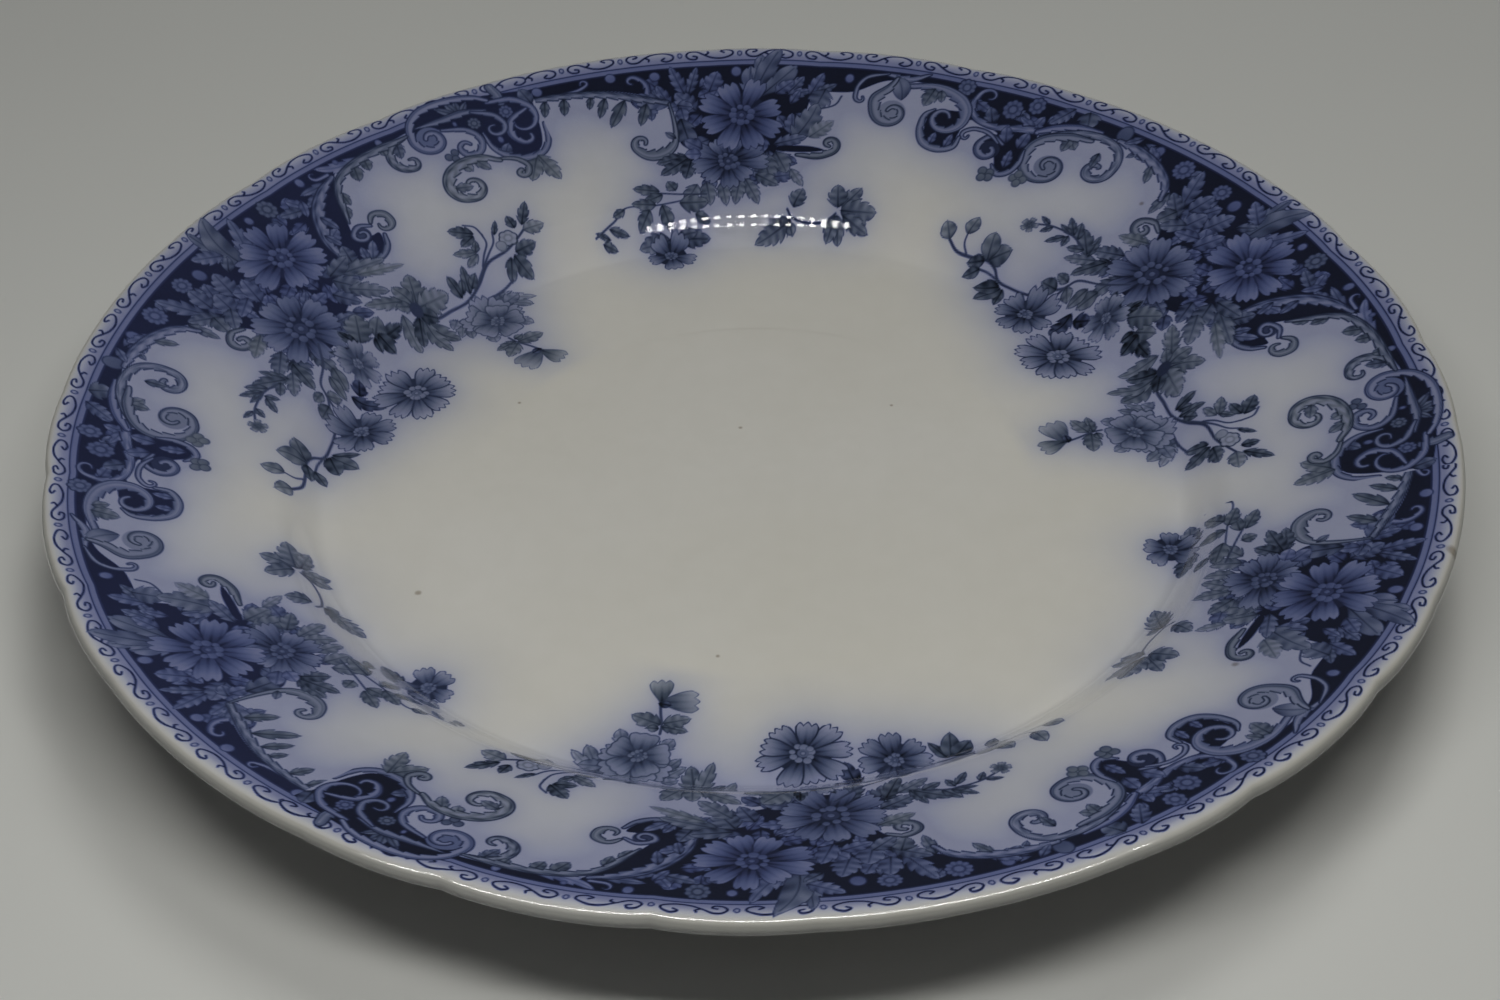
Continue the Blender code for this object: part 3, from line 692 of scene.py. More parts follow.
def draw_second_spray():
    """The flower pair at the section's end, with the tall leaf over the border."""
    leaf(88.6, 112.6, 84.8, 120.9, 4.2, 0.6, 0.5, 2, full=0.6)
    leaf(89.8, 111.8, 89.5, 120.6, 4, 0.6, 0.35, 2, full=0.6)
    leaf(89, 113, 88.4, 123.6, 3.4, 0.58, 0.45, 3, full=0.6)
    leaf(89.4, 111.6, 86.5, 125.4, 3.6, 0.62, 0.45, 3, bend=-0.04, depth=0.25, full=0.6)
    leaves((86.9, 113.6, 85, 117, 2.8, 0.58, 0.2, 4), (85.2, 111, 84.3, 114.6, 1.8, 0.58, 0.2, 3))
    bead((91, 119.3), 1.2, 1.4, ink=0.5)
    leaf(94, 114.2, 92.9, 119.5, 3.8, 0.6, 0.15, 4, full=0.5)
    leaves((96.2, 114, 95, 120.9, 2.2, 0.6, 0.3, 4), (96.6, 114, 97.7, 121.4, 2.8, 0.6, 0.2, 4))
    for centre in ((99.4, 119.2), (103.9, 120.1), (111.6, 120)):
        bead(centre, 1.25, 1.25, ink=0.5)
    scroll((100.5, 114.4, 100.4, 117.4, 101.1, 119.2), (101.9, 118.4), 0.7, -1, (0.8, 0.7, 0.6, 0.3), 0.54,
           0.1)
    scroll((109.4, 118, 107.4, 118.4, 106.2, 119.6), (106.9, 119.8), 0.6, -1, (0.4, 0.5, 0.3), 0.5, 0.1)
    leaves(
        (98.4, 111.4, 99.4, 117, 2.6, 0.6, 0.2, 4), (98.4, 111.6, 102.6, 114.8, 3.8, 0.56, 0.3, 4),
        (95.6, 109.6, 97.6, 114.6, 4.2, 0.6, 0.3, 4), (97.6, 111.4, 95.8, 110.6, 2.8, 0.62, 0.3, 3),
        (97.2, 110.8, 97, 107, 2.6, 0.58, 0.2, 3))
    leaves(
        (100.8, 112.6, 102, 107.2, 2.2), (103, 114.2, 105.3, 107.8, 2.6), (105, 115.4, 106.2, 110.6, 1.9),
        (106.4, 116.2, 107, 113.2, 1.5), (109.2, 117, 109.8, 112.8, 2), (111.2, 117.4, 111.9, 113.4, 1.8),
        (112.6, 117.8, 112.9, 115.2, 1.4), ink=0.6, grey=0.85, teeth=2, fade=0.05)
    band((98.6, 112.4, 100.8, 113.6, 103.2, 115.2, 106, 116.7, 109.2, 117.6, 113.4, 118.4),
         (0.6, 0.9, 0.9, 0.8, 0.8, 0.5), 0.54, 0.5, veins=9, light=0.12)
    leaf(97.4, 108, 96.6, 99.6, 4, 0.68, 0.5, 3)
    scroll((98.4, 112, 98.2, 108.4, 98.2, 104.4, 98.7, 101.4, 100.2, 99.6, 102, 99.6, 103.2, 101.6),
           (102.2, 102.9), 0.72, 1, (0.3, 0.4, 0.5, 0.7, 1.2, 1.3, 1, 0.7, 0.4), 0.52, 0.7)
    leaf(98.3, 103, 99.4, 104.8, 1.3, 0.6, 0.6, 2)
    # Leaves behind and below the lower flower
    leaves(
        (86.6, 98.6, 85, 93.4, 4, 0.56), (88.2, 98.4, 87, 91, 4.4, 0.62), (84.6, 94.4, 82.8, 90.2, 2, 0.36),
        (97.2, 98.2, 101.2, 97.2, 3, 0.66), (97, 98, 101, 94.2, 3.4, 0.7),
        (96.8, 97.6, 98, 92.6, 3.2, 0.72), (89, 93, 86, 90.2, 3, 0.6), (90.4, 92, 88.6, 85.8, 3, 0.52),
        (91, 92, 91.8, 85.8, 3, 0.54), (93.4, 91.2, 93, 85.6, 2.6, 0.5),
        (95.4, 91.4, 95.2, 85.8, 3.2, 0.52), (96.6, 91, 98.6, 86.6, 3, 0.48), grey=0.75, teeth=4)
    flower((92.4, 96.4), 7.6, 9, 30, ink=0.6, grey=0.35, stretch=(1.05, 0.85), eye=0.3, seed=5, plump=1.12)
    flower((90.6, 108), 9.2, 8, -17, ink=0.58, grey=0.12, stretch=(1.03, 0.98), eye=0.27, seed=3,
           plump=1.05)
    leaves((95.4, 99.8, 97.4, 102.4, 3, 0.56, 0.2, 4), (95.6, 98.6, 97.6, 98.8, 2.8, 0.48, 0.1, 4))
    # The sprig of small leaves on its right
    stem((95.6, 88.4, 99.4, 89, 102.4, 90), 0.2)
    stem((97.6, 87.6, 102.4, 86.9, 106.6, 87.4, 108.6, 85.4, 109.8, 84.6, 112, 83.3), 0.18)
    leaves(
        (99.6, 89.9, 100.4, 92.4, 2.4), (101.7, 90.2, 105, 91.8, 2.6), (101.4, 89.3, 104.1, 88, 2.4),
        (102.6, 87, 105.8, 88.1, 2.6), (99.4, 86.8, 95.4, 86.6, 3.4), (101.8, 86.8, 101, 82.4, 2.6),
        (103.6, 86.2, 105.6, 82.8, 2.6), (107, 87, 108.8, 86, 1.6), (109.8, 84.2, 107.2, 82.6, 1.4),
        (110, 82.6, 111.8, 84, 0.9), (111.2, 82.2, 109.4, 80.6, 1.6), (97.4, 84.6, 95.4, 83.2, 1.8),
        ink=0.56, grey=0.85, teeth=3, fade=0.04)
    leaves(
        (100.6, 81.2, 95.6, 80.6, 3.4, 0.7, 0.7, 4), (101.4, 81, 106.2, 80.2, 3.6, 0.56, 0.7, 4),
        (100, 81.6, 97.4, 81.9, 2, 0.6, 0.7, 3))
    flower((101.9, 77.4), 5.2, 5, 60, ink=0.5, grey=0.5, eye=0.26, plump=0.95, seed=6, shade=0.36)
    # The leaf cluster on its left, with its tendril
    leaves(
        (77, 85.8, 75, 91, 3.6), (77.6, 85.8, 78.2, 91.2, 3.8), (77.2, 85.4, 72.2, 85.8, 4.8),
        (76.8, 84.6, 72.8, 82.2, 2.6), (77.6, 84.6, 76.8, 79.6, 2.6), (77.8, 84.6, 78.6, 79.9, 2.8),
        (83.8, 85.4, 82.7, 89.6, 3.2), (84, 83.4, 89.1, 79, 4), (84.2, 83, 83.6, 80.8, 1.8), ink=0.6,
        grey=0.75, teeth=5, fade=0.14)
    stem((77.8, 84.8, 79, 83.5, 81.4, 83, 83.8, 83.7, 84.6, 85), 0.22, ink=0.84)


def draw_well_sprigs():
    """Sprigs that trail from the rim down into the well."""
    stem((-1.4, 89.4, 1, 87, 3.2, 85.7, 6.4, 85, 9.2, 82.7, 12.2, 81.2, 15.2, 81.2, 18.2, 81.4, 19.8, 83),
         0.26, ink=0.84)
    stem((3.3, 90.6, 4.1, 88.2, 5.6, 86.4, 7.4, 84.6, 9.4, 82.8), 0.2)
    stem((4.7, 91, 5, 88.6, 6.4, 86.4, 7.4, 84.8), 0.2)
    stem((4.7, 90.8, 4.9, 93.2, 6, 94.6), 0.2)
    rosette((1.9, 88), 2, 1.9, ink=0.24, grey=0.8, lobes=6)
    bead((3.4, 86.9), 1.2, 1.2, ink=0.3, grey=0.8, dark=0.6)
    leaves(
        (-0.8, 89.8, -2.9, 94.9, 2.2, 0.7), (0.3, 89.6, 0.3, 93, 2, 0.72), (3.3, 89.8, 2, 92.8, 1.1, 0.66),
        (5.6, 91.8, 8.2, 94.8, 3, 0.7), (5.8, 91.4, 8.2, 90.2, 2.2, 0.7),
        (-0.6, 88.6, -3.6, 88.6, 3.2, 0.44), (2, 85, -1.3, 85.4, 2.6, 0.68),
        (2.4, 84.6, 1.2, 80.1, 3.2, 0.68), (2.9, 84.4, 4.5, 80.8, 2.2, 0.66),
        (7.2, 87.6, 6, 90.2, 1.5, 0.62), (7, 87.6, 9.9, 89.4, 2.2, 0.5), (7, 87.2, 9.4, 85.7, 1.6, 0.46),
        (11.2, 82, 10.1, 86.4, 1.9, 0.66), (12.6, 82, 12.9, 86, 2.2, 0.72),
        (10.6, 82.6, 8.9, 84.4, 1.6, 0.66), (12.2, 82.4, 11.2, 84.6, 1.3, 0.7),
        (19.4, 84.6, 17, 90.4, 4.4, 0.56), (19.8, 85, 20.2, 90, 3.4, 0.54),
        (20.8, 86.2, 25.2, 90.2, 3.2, 0.5), (19.4, 84.2, 14.2, 83.6, 4, 0.46),
        (20.2, 84.8, 22.2, 86.2, 2, 0.56), (22.2, 84.6, 24.2, 77.8, 3, 0.46),
        (20.2, 83, 23, 78.6, 2.8, 0.74), (19.8, 82.6, 18.4, 74.4, 4.2, 0.64),
        (19.8, 82.6, 21.2, 73.2, 3, 0.52), (20, 83.6, 17.6, 81.2, 2.8, 0.8),
        (28.8, 84, 23.2, 83.6, 2.8, 0.84), (28, 84.6, 25.4, 86.8, 3.2, 0.58),
        (27.4, 84.8, 27.2, 80.8, 3, 0.82), (28.2, 84.6, 28.9, 82.2, 1.6, 0.8),
        (30.6, 85.4, 27.2, 90.2, 5.2, 0.58), (31.6, 84.2, 31.2, 90, 2.2, 0.88),
        (32.4, 84.6, 33.8, 87.2, 1.6, 0.88), (34, 84.6, 35, 88.4, 1.4, 0.84), grey=0.85, teeth=4, fade=0.1)
    disc(plan((19.9, 84))[0], 1.3, 0.86, 0.4)
    # A loose blossom and the stem that leads right to the two buds
    flower((33.4, 83.6), 4.4, 6, 20, ink=0.4, grey=0.55, eye=0.2, dark=0.78, seed=9, shade=0.36)
    stem((34.6, 91, 37.6, 87.6, 40.6, 86, 41.8, 84, 43.4, 82.8), 0.24)
    stem((41.6, 84.4, 42.4, 82.4, 43, 80.6, 44.4, 78.4), 0.24)
    stem((44.8, 81.4, 46.6, 80.5, 49.2, 80.3, 51.6, 80.6, 53, 82.2, 54.6, 82.9, 57.2, 82.6, 59.4, 82.8, 61,
         84.2), 0.26, ink=0.84)
    stem((51.6, 80.6, 53.6, 81.2, 55.2, 81.3), 0.2)
    stem((57.8, 82.7, 58.7, 84.2, 58.8, 86), 0.18)
    leaves(
        (41.8, 85, 43.9, 85.3, 1.6, 0.56), (42.8, 83.2, 45.5, 83.2, 2.4, 0.64),
        (41.6, 84.2, 40.2, 82.2, 2, 0.5), (37, 86, 38.4, 82.2, 2.6, 0.56),
        (38.6, 85.6, 39.8, 81.6, 2, 0.52), (50.4, 79.6, 49.3, 74.6, 1.7, 0.72),
        (50.7, 79.6, 52.7, 73.9, 3, 0.66), (51, 79.8, 54.3, 77.2, 3.2, 0.74),
        (54.4, 83.1, 51.8, 85.8, 3.2, 0.6), (54.6, 83, 55.3, 88, 3.4, 0.54),
        (54.9, 82.8, 57.3, 81.6, 2, 0.7), (55.1, 81.4, 57, 79, 2, 0.66), (58.8, 85.8, 58.5, 90.1, 2.6, 0.5),
        (61, 84.2, 62.3, 87.3, 2.8, 0.48), grey=0.85, teeth=2, depth=0.15, fade=0.08)
    leaves((38.6, 81.4, 38, 74.6, 3.2, 0.8, 0.4, 3), (37.6, 80.4, 35.4, 82, 2.6, 0.86, 0.3, 3))
    flower((44.2, 76.4), 6.6, 7, 25, ink=0.48, grey=0.5, eye=0.22, plump=1.1, dark=0.88, seed=11,
           shade=0.46, line=0.26)
    flower((33, 71.4), 8.2, 9, 2, ink=0.36, grey=0.5, eye=0.26, dark=0.9, seed=12, shade=0.6,
           stretch=(0.95, 1), plump=1.2, line=0.32)
    # The flower that hangs lowest, and the sprig below it
    leaves(
        (8, 79.8, 4.2, 73.8, 3.6, 0.5), (7.4, 80, 2.8, 75.8, 2.4, 0.34), (8.8, 80.2, 6.6, 76.4, 2.6, 0.66),
        (14.6, 79, 17.8, 74.8, 2.6, 0.44), (15, 76.6, 16.9, 73, 2.2, 0.52), grey=0.7, teeth=3)
    stem((4.2, 81.2, 6, 80.4, 8, 80), 0.22)
    leaves(
        (7.6, 77.6, 4.6, 78.6, 2.8, 0.48), (15.4, 79.4, 17.2, 78, 2.2, 0.44),
        (8.6, 71.6, 7.2, 68.4, 2.6, 0.42), (14, 71.4, 15.2, 68.6, 2.6, 0.42), grey=0.6, teeth=2)
    flower((11.3, 75.4), 6.6, 8, 12, ink=0.42, grey=0.6, eye=0.22, plump=1.35, dark=0.8, seed=13, cut=0.12,
           shade=0.42, line=0.26, stretch=(0.95, 0.85))
    flower((11.3, 73.6), 5.4, 5, 54, ink=0.46, grey=0.6, eye=0.28, plump=1.2, dark=0.8, seed=14, cut=0.05,
           shade=0.36, line=0.24)
    stem((13, 67.8, 12.8, 65.6, 12, 63, 11.3, 60.4), 0.26, ink=0.78)
    leaves(
        (12.6, 65.6, 7.8, 64.5, 3.4, 0.56), (12.8, 66, 16.8, 66.4, 2.2, 0.58),
        (12.9, 65.2, 16.8, 63.2, 3, 0.52), (12.6, 66.6, 10.8, 66.8, 1.6, 0.62), grey=0.9, teeth=4)
    petal(*plan((11.4, 60.2, 17.6, 58.8)), 5.6, ink=0.44, grey=0.8, dark=0.74)
    petal(*plan((11.4, 60, 9.8, 54.8)), 4.2, ink=0.48, grey=0.95, dark=0.76)
    leaf(11, 60.6, 13.2, 60.6, 1.6, 0.84, 0.5, 2)


def draw_section():
    """Everything on one section, from the ground up."""
    for draw in (draw_rim_ground, draw_thickets, draw_border_ground, draw_border_scrolls,
                 draw_cartouche_grounds, draw_left_cartouche, draw_acanthus_arch, draw_first_spray,
                 draw_right_cartouche, draw_hanging_volute, draw_second_spray, draw_well_sprigs):
        draw()


# ---- three sections make the ring, and the ink bleeds in the glaze ----

# How far the blue runs, in mm, and how much of the ink runs that far
NEAR_FLOW = 1.5
NEAR_SHARE = 0.26
FAR_FLOW = 7.5
FAR_SHARE = 0.78
MOST_FLOW = 0.31
# Outside, the flow fades out toward the lip; inside, the sheet ends softly
FLOW_EDGE = (126.3, 3.2)
INNER_FADE = 3.0


def blurred(field, spread):
    """Gaussian blur over the ring: periodic round the plate, open inward and outward."""
    margin = int(3 * spread / RADIUS_STEP)
    padded = np.pad(field, ((margin, margin), (0, 0)), mode="edge")
    rows = np.fft.fftfreq(padded.shape[0], RADIUS_STEP)[:, None]
    mean_step = math.radians(DEGREE_STEP) * 0.5 * (PRINT_INNER + PRINT_OUTER)
    columns = np.fft.rfftfreq(padded.shape[1], mean_step)[None, :]
    response = np.exp(-2 * (math.pi * spread) ** 2 * (rows ** 2 + columns ** 2))
    smooth = np.fft.irfft2(np.fft.rfft2(padded) * response, s=padded.shape)
    return smooth[margin:margin + field.shape[0]]


def ring_of_ink():
    """Ink and greyness over the whole ring, and the column where each section starts."""
    columns = int(round(360 / DEGREE_STEP))
    ink, grey = np.zeros((2, len(sheet.radii), columns))
    starts = []
    for turn, strength in zip(SECTION_TURNS, SECTION_STRENGTH):
        first = int(round((turn + SECTION_START) / DEGREE_STEP))
        at = (first + np.arange(sheet.ink.shape[1])) % columns
        ink[:, at] = sheet.ink * strength
        grey[:, at] = sheet.grey
        starts.append(first)
    # The first section's start lies over the last one's end
    first = starts[0]
    overlap = SECTION_TURNS[2] + SECTION_END - 360 - SECTION_START
    width = int(round(overlap / DEGREE_STEP))
    at = (first + np.arange(width)) % columns
    ink[:, at] = sheet.ink[:, :width] * SECTION_STRENGTH[0]
    grey[:, at] = sheet.grey[:, :width]
    # The blue runs out of the heavy ink, a little way strongly and further on faintly
    near, far = blurred(ink, NEAR_FLOW), blurred(ink, FAR_FLOW)
    flow = np.clip(NEAR_SHARE * near + FAR_SHARE * far, 0, MOST_FLOW)
    flow = flow * np.clip((FLOW_EDGE[0] - sheet.radii[:, None]) / FLOW_EDGE[1], 0, 1)
    total = ink + flow * (1 - ink) ** 2
    pale = np.clip(total / np.maximum(ink, 1e-3) - 1, 0, 1)
    grey = blurred(grey, 0.25) * (1 - 0.8 * pale)
    fade = np.clip((sheet.radii[:, None] - PRINT_INNER) / INNER_FADE, 0, 1)
    return np.clip(total * fade, 0, 1), np.clip(grey, 0, 1), starts


# ---- the plate's surface ----

def face_height(radius):
    """Height of the glazed face: flat well, a wall that eases into the rim, and the rim's slope."""
    run = SHOULDER_RADIUS - WELL_RADIUS
    t = np.clip((radius - WELL_RADIUS) / run, 0, 1)
    wall = (WELL_HEIGHT + t * t * (3 - 2 * t) * (SHOULDER_HEIGHT - WELL_HEIGHT)
            + t * t * (t - 1) * RIM_SLOPE * run)
    out = np.maximum(radius - SHOULDER_RADIUS, 0)
    return wall + RIM_SLOPE * out + RIM_FLARE * out * out


def rim_slope(radius):
    """Rise per mm outward on the rim."""
    return RIM_SLOPE + 2 * RIM_FLARE * (radius - SHOULDER_RADIUS)


LIP_CENTRE = PLATE_RADIUS - LIP_RADIUS
LIP_ANGLE = math.pi / 2 + math.atan(rim_slope(LIP_CENTRE))
LIP_START = LIP_CENTRE + LIP_RADIUS * math.cos(LIP_ANGLE)
LIP_CENTRE_HEIGHT = float(face_height(LIP_START)) - LIP_RADIUS * math.sin(LIP_ANGLE)


def lip_point(angle, depth=0.0):
    """(radius, height) on the rounded lip, at this angle above level."""
    reach = LIP_RADIUS - depth
    return LIP_CENTRE + reach * np.cos(angle), LIP_CENTRE_HEIGHT + reach * np.sin(angle)


def face_point(radius, depth=0.0):
    """(radius, height) of the face at this depth below the glaze. Past the rim it follows the lip."""
    radius = np.asarray(radius, float)
    step = 0.01
    slope = (face_height(radius + step) - face_height(radius - step)) / (2 * step)
    length = np.hypot(1, slope)
    flat = (radius + depth * slope / length, face_height(radius) - depth / length)
    angle = LIP_ANGLE - (radius - LIP_START) * math.hypot(1, rim_slope(LIP_CENTRE)) / LIP_RADIUS
    bent = lip_point(angle, depth)
    on_lip = radius > LIP_START
    return np.where(on_lip, bent[0], flat[0]), np.where(on_lip, bent[1], flat[1])


def back_profile(depth):
    """Underside from the lip in to the foot ring, through the CAD's own turning points."""
    end = lip_point(LIP_UNDERCUT)
    middle = 0.5 * (PLATE_RADIUS + SHOULDER_RADIUS)
    turn_height = 0.5 * (float(face_height(SHOULDER_RADIUS)) - RIM_THICKNESS + FOOT_JOIN_HEIGHT)
    points = np.array([end, (middle, float(face_height(middle)) - RIM_THICKNESS),
                       (SHOULDER_RADIUS, SHOULDER_HEIGHT - RIM_THICKNESS), (BACK_TURN_RADIUS, turn_height),
                       (FOOT_RADIUS + 1.0, FOOT_JOIN_HEIGHT), (FOOT_RADIUS + 0.2, BARE_FOOT_HEIGHT)])
    line = spline(points, per_span=10)
    return inset(line, depth)[1:]


def recess_profile(depth):
    """Inside of the foot ring and the flat recess, out to in."""
    inner = FOOT_RADIUS - FOOT_WIDTH
    line = [(inner - 0.3, BARE_FOOT_HEIGHT), (inner - 0.7, 1.3), (inner - 1.2, 1.75),
            (inner - 2.2, RECESS_HEIGHT), (inner - 12.0, RECESS_HEIGHT), (40.0, RECESS_HEIGHT),
            (0.0, RECESS_HEIGHT)]
    return inset(np.array(line), depth)


def inset(line, depth):
    """The profile moved to the right of its direction of travel, which is into the clay."""
    ahead = np.vstack([line[1:], line[-1:]]) - np.vstack([line[:1], line[:-1]])
    ahead /= np.hypot(ahead[:, 0], ahead[:, 1])[:, None]
    moved = line + depth * np.stack([ahead[:, 1], -ahead[:, 0]], -1)
    moved[line[:, 0] == 0.0, 0] = 0.0
    return moved


def coat_profile(depth):
    """Whole glazed outline at a depth: face, lip, back and the foot ring's outer side."""
    radii = np.concatenate([[0.0], np.arange(6, WELL_RADIUS, 6.0),
                            np.linspace(WELL_RADIUS, SHOULDER_RADIUS, 20),
                            np.arange(SHOULDER_RADIUS + 1.2, LIP_START, 1.2)])
    face = np.stack(face_point(radii, depth), -1)
    angles = np.linspace(LIP_ANGLE, LIP_UNDERCUT, 16)
    lip = np.stack(lip_point(angles, depth), -1)
    return np.vstack([face, lip, back_profile(depth)])


def scallop_depth(degrees):
    """How far the lip is drawn in, in mm, at this angle round the plate."""
    repeat = 360.0 / SCALLOP_REPEATS
    turn = (degrees - SCALLOP_CENTRE + repeat / 2) % repeat - repeat / 2
    depths = [size * np.exp(-np.abs(np.abs(turn) - at) / SCALLOP_WIDTH) for at, size in SCALLOP_DIPS]
    return np.maximum(*depths)


def revolved(radii, heights, degrees):
    """Grid of points in metres: one row for each profile point, one column for each angle."""
    radius = np.broadcast_to(radii[:, None], (len(radii), len(degrees)))
    share = np.clip((radius - SCALLOP_START_RADIUS) / (PLATE_RADIUS - SCALLOP_START_RADIUS), 0, 1)
    radius = radius - scallop_depth(degrees)[None, :] * share * share
    angle = np.radians(degrees)[None, :]
    height = np.broadcast_to(heights[:, None], radius.shape)
    return MM * np.stack([radius * np.cos(angle), radius * np.sin(angle), height], -1)


def grid_mesh(name, grid, round_plate):
    """Mesh of quads over a grid of points, closed round the plate if asked."""
    rows, columns, _ = grid.shape
    index = np.arange(rows * columns).reshape(rows, columns)
    if round_plate:
        index = np.hstack([index, index[:, :1]])
    quads = np.stack([index[1:, :-1], index[1:, 1:], index[:-1, 1:], index[:-1, :-1]], -1).reshape(-1, 4)
    mesh = bpy.data.meshes.new(name)
    mesh.vertices.add(rows * columns)
    mesh.vertices.foreach_set("co", grid.astype(np.float32).ravel())
    mesh.loops.add(quads.size)
    mesh.loops.foreach_set("vertex_index", quads.astype(np.int32).ravel())
    mesh.polygons.add(len(quads))
    mesh.polygons.foreach_set("loop_start", np.arange(0, quads.size, 4, dtype=np.int32))
    mesh.update(calc_edges=True)
    return mesh


def add_value(mesh, name, values):
    """A per-vertex number for the material to read."""
    attribute = mesh.attributes.new(name, "FLOAT", "POINT")
    attribute.data.foreach_set("value", np.asarray(values, np.float32).ravel())


def add_object(name, data):
    thing = bpy.data.objects.new(name, data)
    bpy.context.scene.collection.objects.link(thing)
    return thing


def add_piece(name, mesh, material, node):
    """A piece of the plate, standing for one CAD node."""
    mesh.materials.append(material)
    mesh.shade_smooth()
    piece = add_object(name, mesh)
    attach(piece, "root")
    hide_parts(node)


TURN_STEPS = 960


def turned(name, profile):
    """Mesh of a profile of (radius, height) turned round the axis, with the lip's scallops."""
    degrees = np.arange(TURN_STEPS) * 360.0 / TURN_STEPS
    return grid_mesh(name, revolved(profile[:, 0], profile[:, 1], degrees), True)


# ---- materials ----

class Nodes:
    """Small helper for writing a material's nodes in reading order."""

    def __init__(self, name):
        self.material = bpy.data.materials.new(name)
        self.material.use_nodes = True
        self.tree = self.material.node_tree
        self.tree.nodes.clear()

    def add(self, kind, inputs=None, **settings):
        node = self.tree.nodes.new(kind)
        for key, value in settings.items():
            setattr(node, key, value)
        for key, value in (inputs or {}).items():
            if isinstance(value, bpy.types.NodeSocket):
                self.tree.links.new(value, node.inputs[key])
            else:
                node.inputs[key].default_value = value
        return node

    def math(self, operation, a, b=0.0, clamp=False):
        return self.add("ShaderNodeMath", {0: a, 1: b}, operation=operation, use_clamp=clamp).outputs[0]

    def times(self, a, b):
        return self.math("MULTIPLY", a, b)

    def geometry(self, name):
        return self.add("ShaderNodeNewGeometry").outputs[name]

    def mix(self, factor, a, b, blend="MIX"):
        node = self.add("ShaderNodeMix", {0: factor, 6: a, 7: b}, data_type="RGBA", blend_type=blend)
        return node.outputs[2]

    def noise(self, scale, detail=3.0, roughness=0.5):
        node = self.add("ShaderNodeTexNoise", {"Vector": self.geometry("Position"), "Scale": scale,
                                               "Detail": detail, "Roughness": roughness})
        return node.outputs["Fac"]

    def ramp(self, value, stops):
        node = self.add("ShaderNodeValToRGB", {0: value})
        elements = node.color_ramp.elements
        while len(elements) < len(stops):
            elements.new(0.5)
        for element, (place, colour) in zip(elements, stops):
            element.position = place
            element.color = (*colour, 1.0)
        return node.outputs[0]

    def attribute(self, name):
        return self.add("ShaderNodeAttribute", attribute_name=name).outputs["Fac"]

    def from_axis(self, x=0.0, y=0.0):
        """Distance in plan, in metres, from this place on the plate in mm."""
        flat = self.add("ShaderNodeVectorMath", {0: self.geometry("Position"), 1: (1, 1, 0)},
                        operation="MULTIPLY").outputs[0]
        away = self.add("ShaderNodeVectorMath", {0: flat, 1: (x * MM, y * MM, 0)}, operation="DISTANCE")
        return away.outputs["Value"]

    def beyond(self, radius):
        """1 where the plate is further than this many mm from its axis."""
        return self.math("GREATER_THAN", self.from_axis(), radius * MM)

    def spot(self, x, y, radius):
        """1 at a place on the plate, in mm in plan, falling to 0 near the radius along a ragged edge."""
        share = self.math("DIVIDE", self.from_axis(x, y), radius * MM)
        wobble = self.times(self.noise(900.0), 0.5)
        edge = self.math("SUBTRACT", 1.25, self.math("ADD", share, wobble))
        return self.math("DIVIDE", edge, SPOT_SOFTNESS, clamp=True)

    def surface(self, shader):
        output = self.add("ShaderNodeOutputMaterial")
        self.tree.links.new(shader, output.inputs["Surface"])
        return self.material


# The body's white under glaze, and what the cobalt does to it by ink density
CLAY_WHITE = (0.80, 0.785, 0.735, 1)
CLAY_WARM = (0.765, 0.745, 0.675, 1)
SPECK_BROWN = (0.22, 0.20, 0.16, 1)
MARK_BROWN = (0.25, 0.19, 0.12, 1)
FOOT_BLUE = (0.60, 0.68, 0.74, 1)
BLUE_STOPS = ((0.0, (1, 1, 1)), (0.12, (0.75, 0.785, 0.93)), (0.28, (0.50, 0.545, 0.82)),
              (0.42, (0.305, 0.345, 0.65)), (0.58, (0.148, 0.190, 0.46)), (0.72, (0.078, 0.106, 0.30)),
              (0.86, (0.034, 0.044, 0.135)), (1.0, (0.011, 0.014, 0.027)))
SLATE_STOPS = ((0.0, (1, 1, 1)), (0.12, (0.775, 0.81, 0.89)), (0.28, (0.525, 0.58, 0.68)),
               (0.42, (0.34, 0.395, 0.49)), (0.58, (0.19, 0.23, 0.31)), (0.72, (0.092, 0.124, 0.198)),
               (0.86, (0.036, 0.052, 0.094)), (1.0, (0.011, 0.014, 0.023)))

# Over this share of its radius a mark's ragged edge fades out
SPOT_SOFTNESS = 0.6
# Beyond these radii, in mm, painted shade darkens the clay where the lip turns down, and the glaze is less
# sharp
LIP_PAINTED_SHADE_RADIUS = 124.0
LIP_GLOSS_RADIUS = 123.5
# Small marks of age, each degrees, mm from the axis and size: brown kiln specks and one rust spot
MARKS = ((205.6, 66.2, 0.8), (321.5, 101.5, 0.8), (97.0, 18.0, 0.5), (262.0, 47.0, 0.5), (149.0, 52.0, 0.45),
         (42.0, 36.0, 0.4), (42.4, 107.2, 0.6), (339.5, 126.2, 1.5))


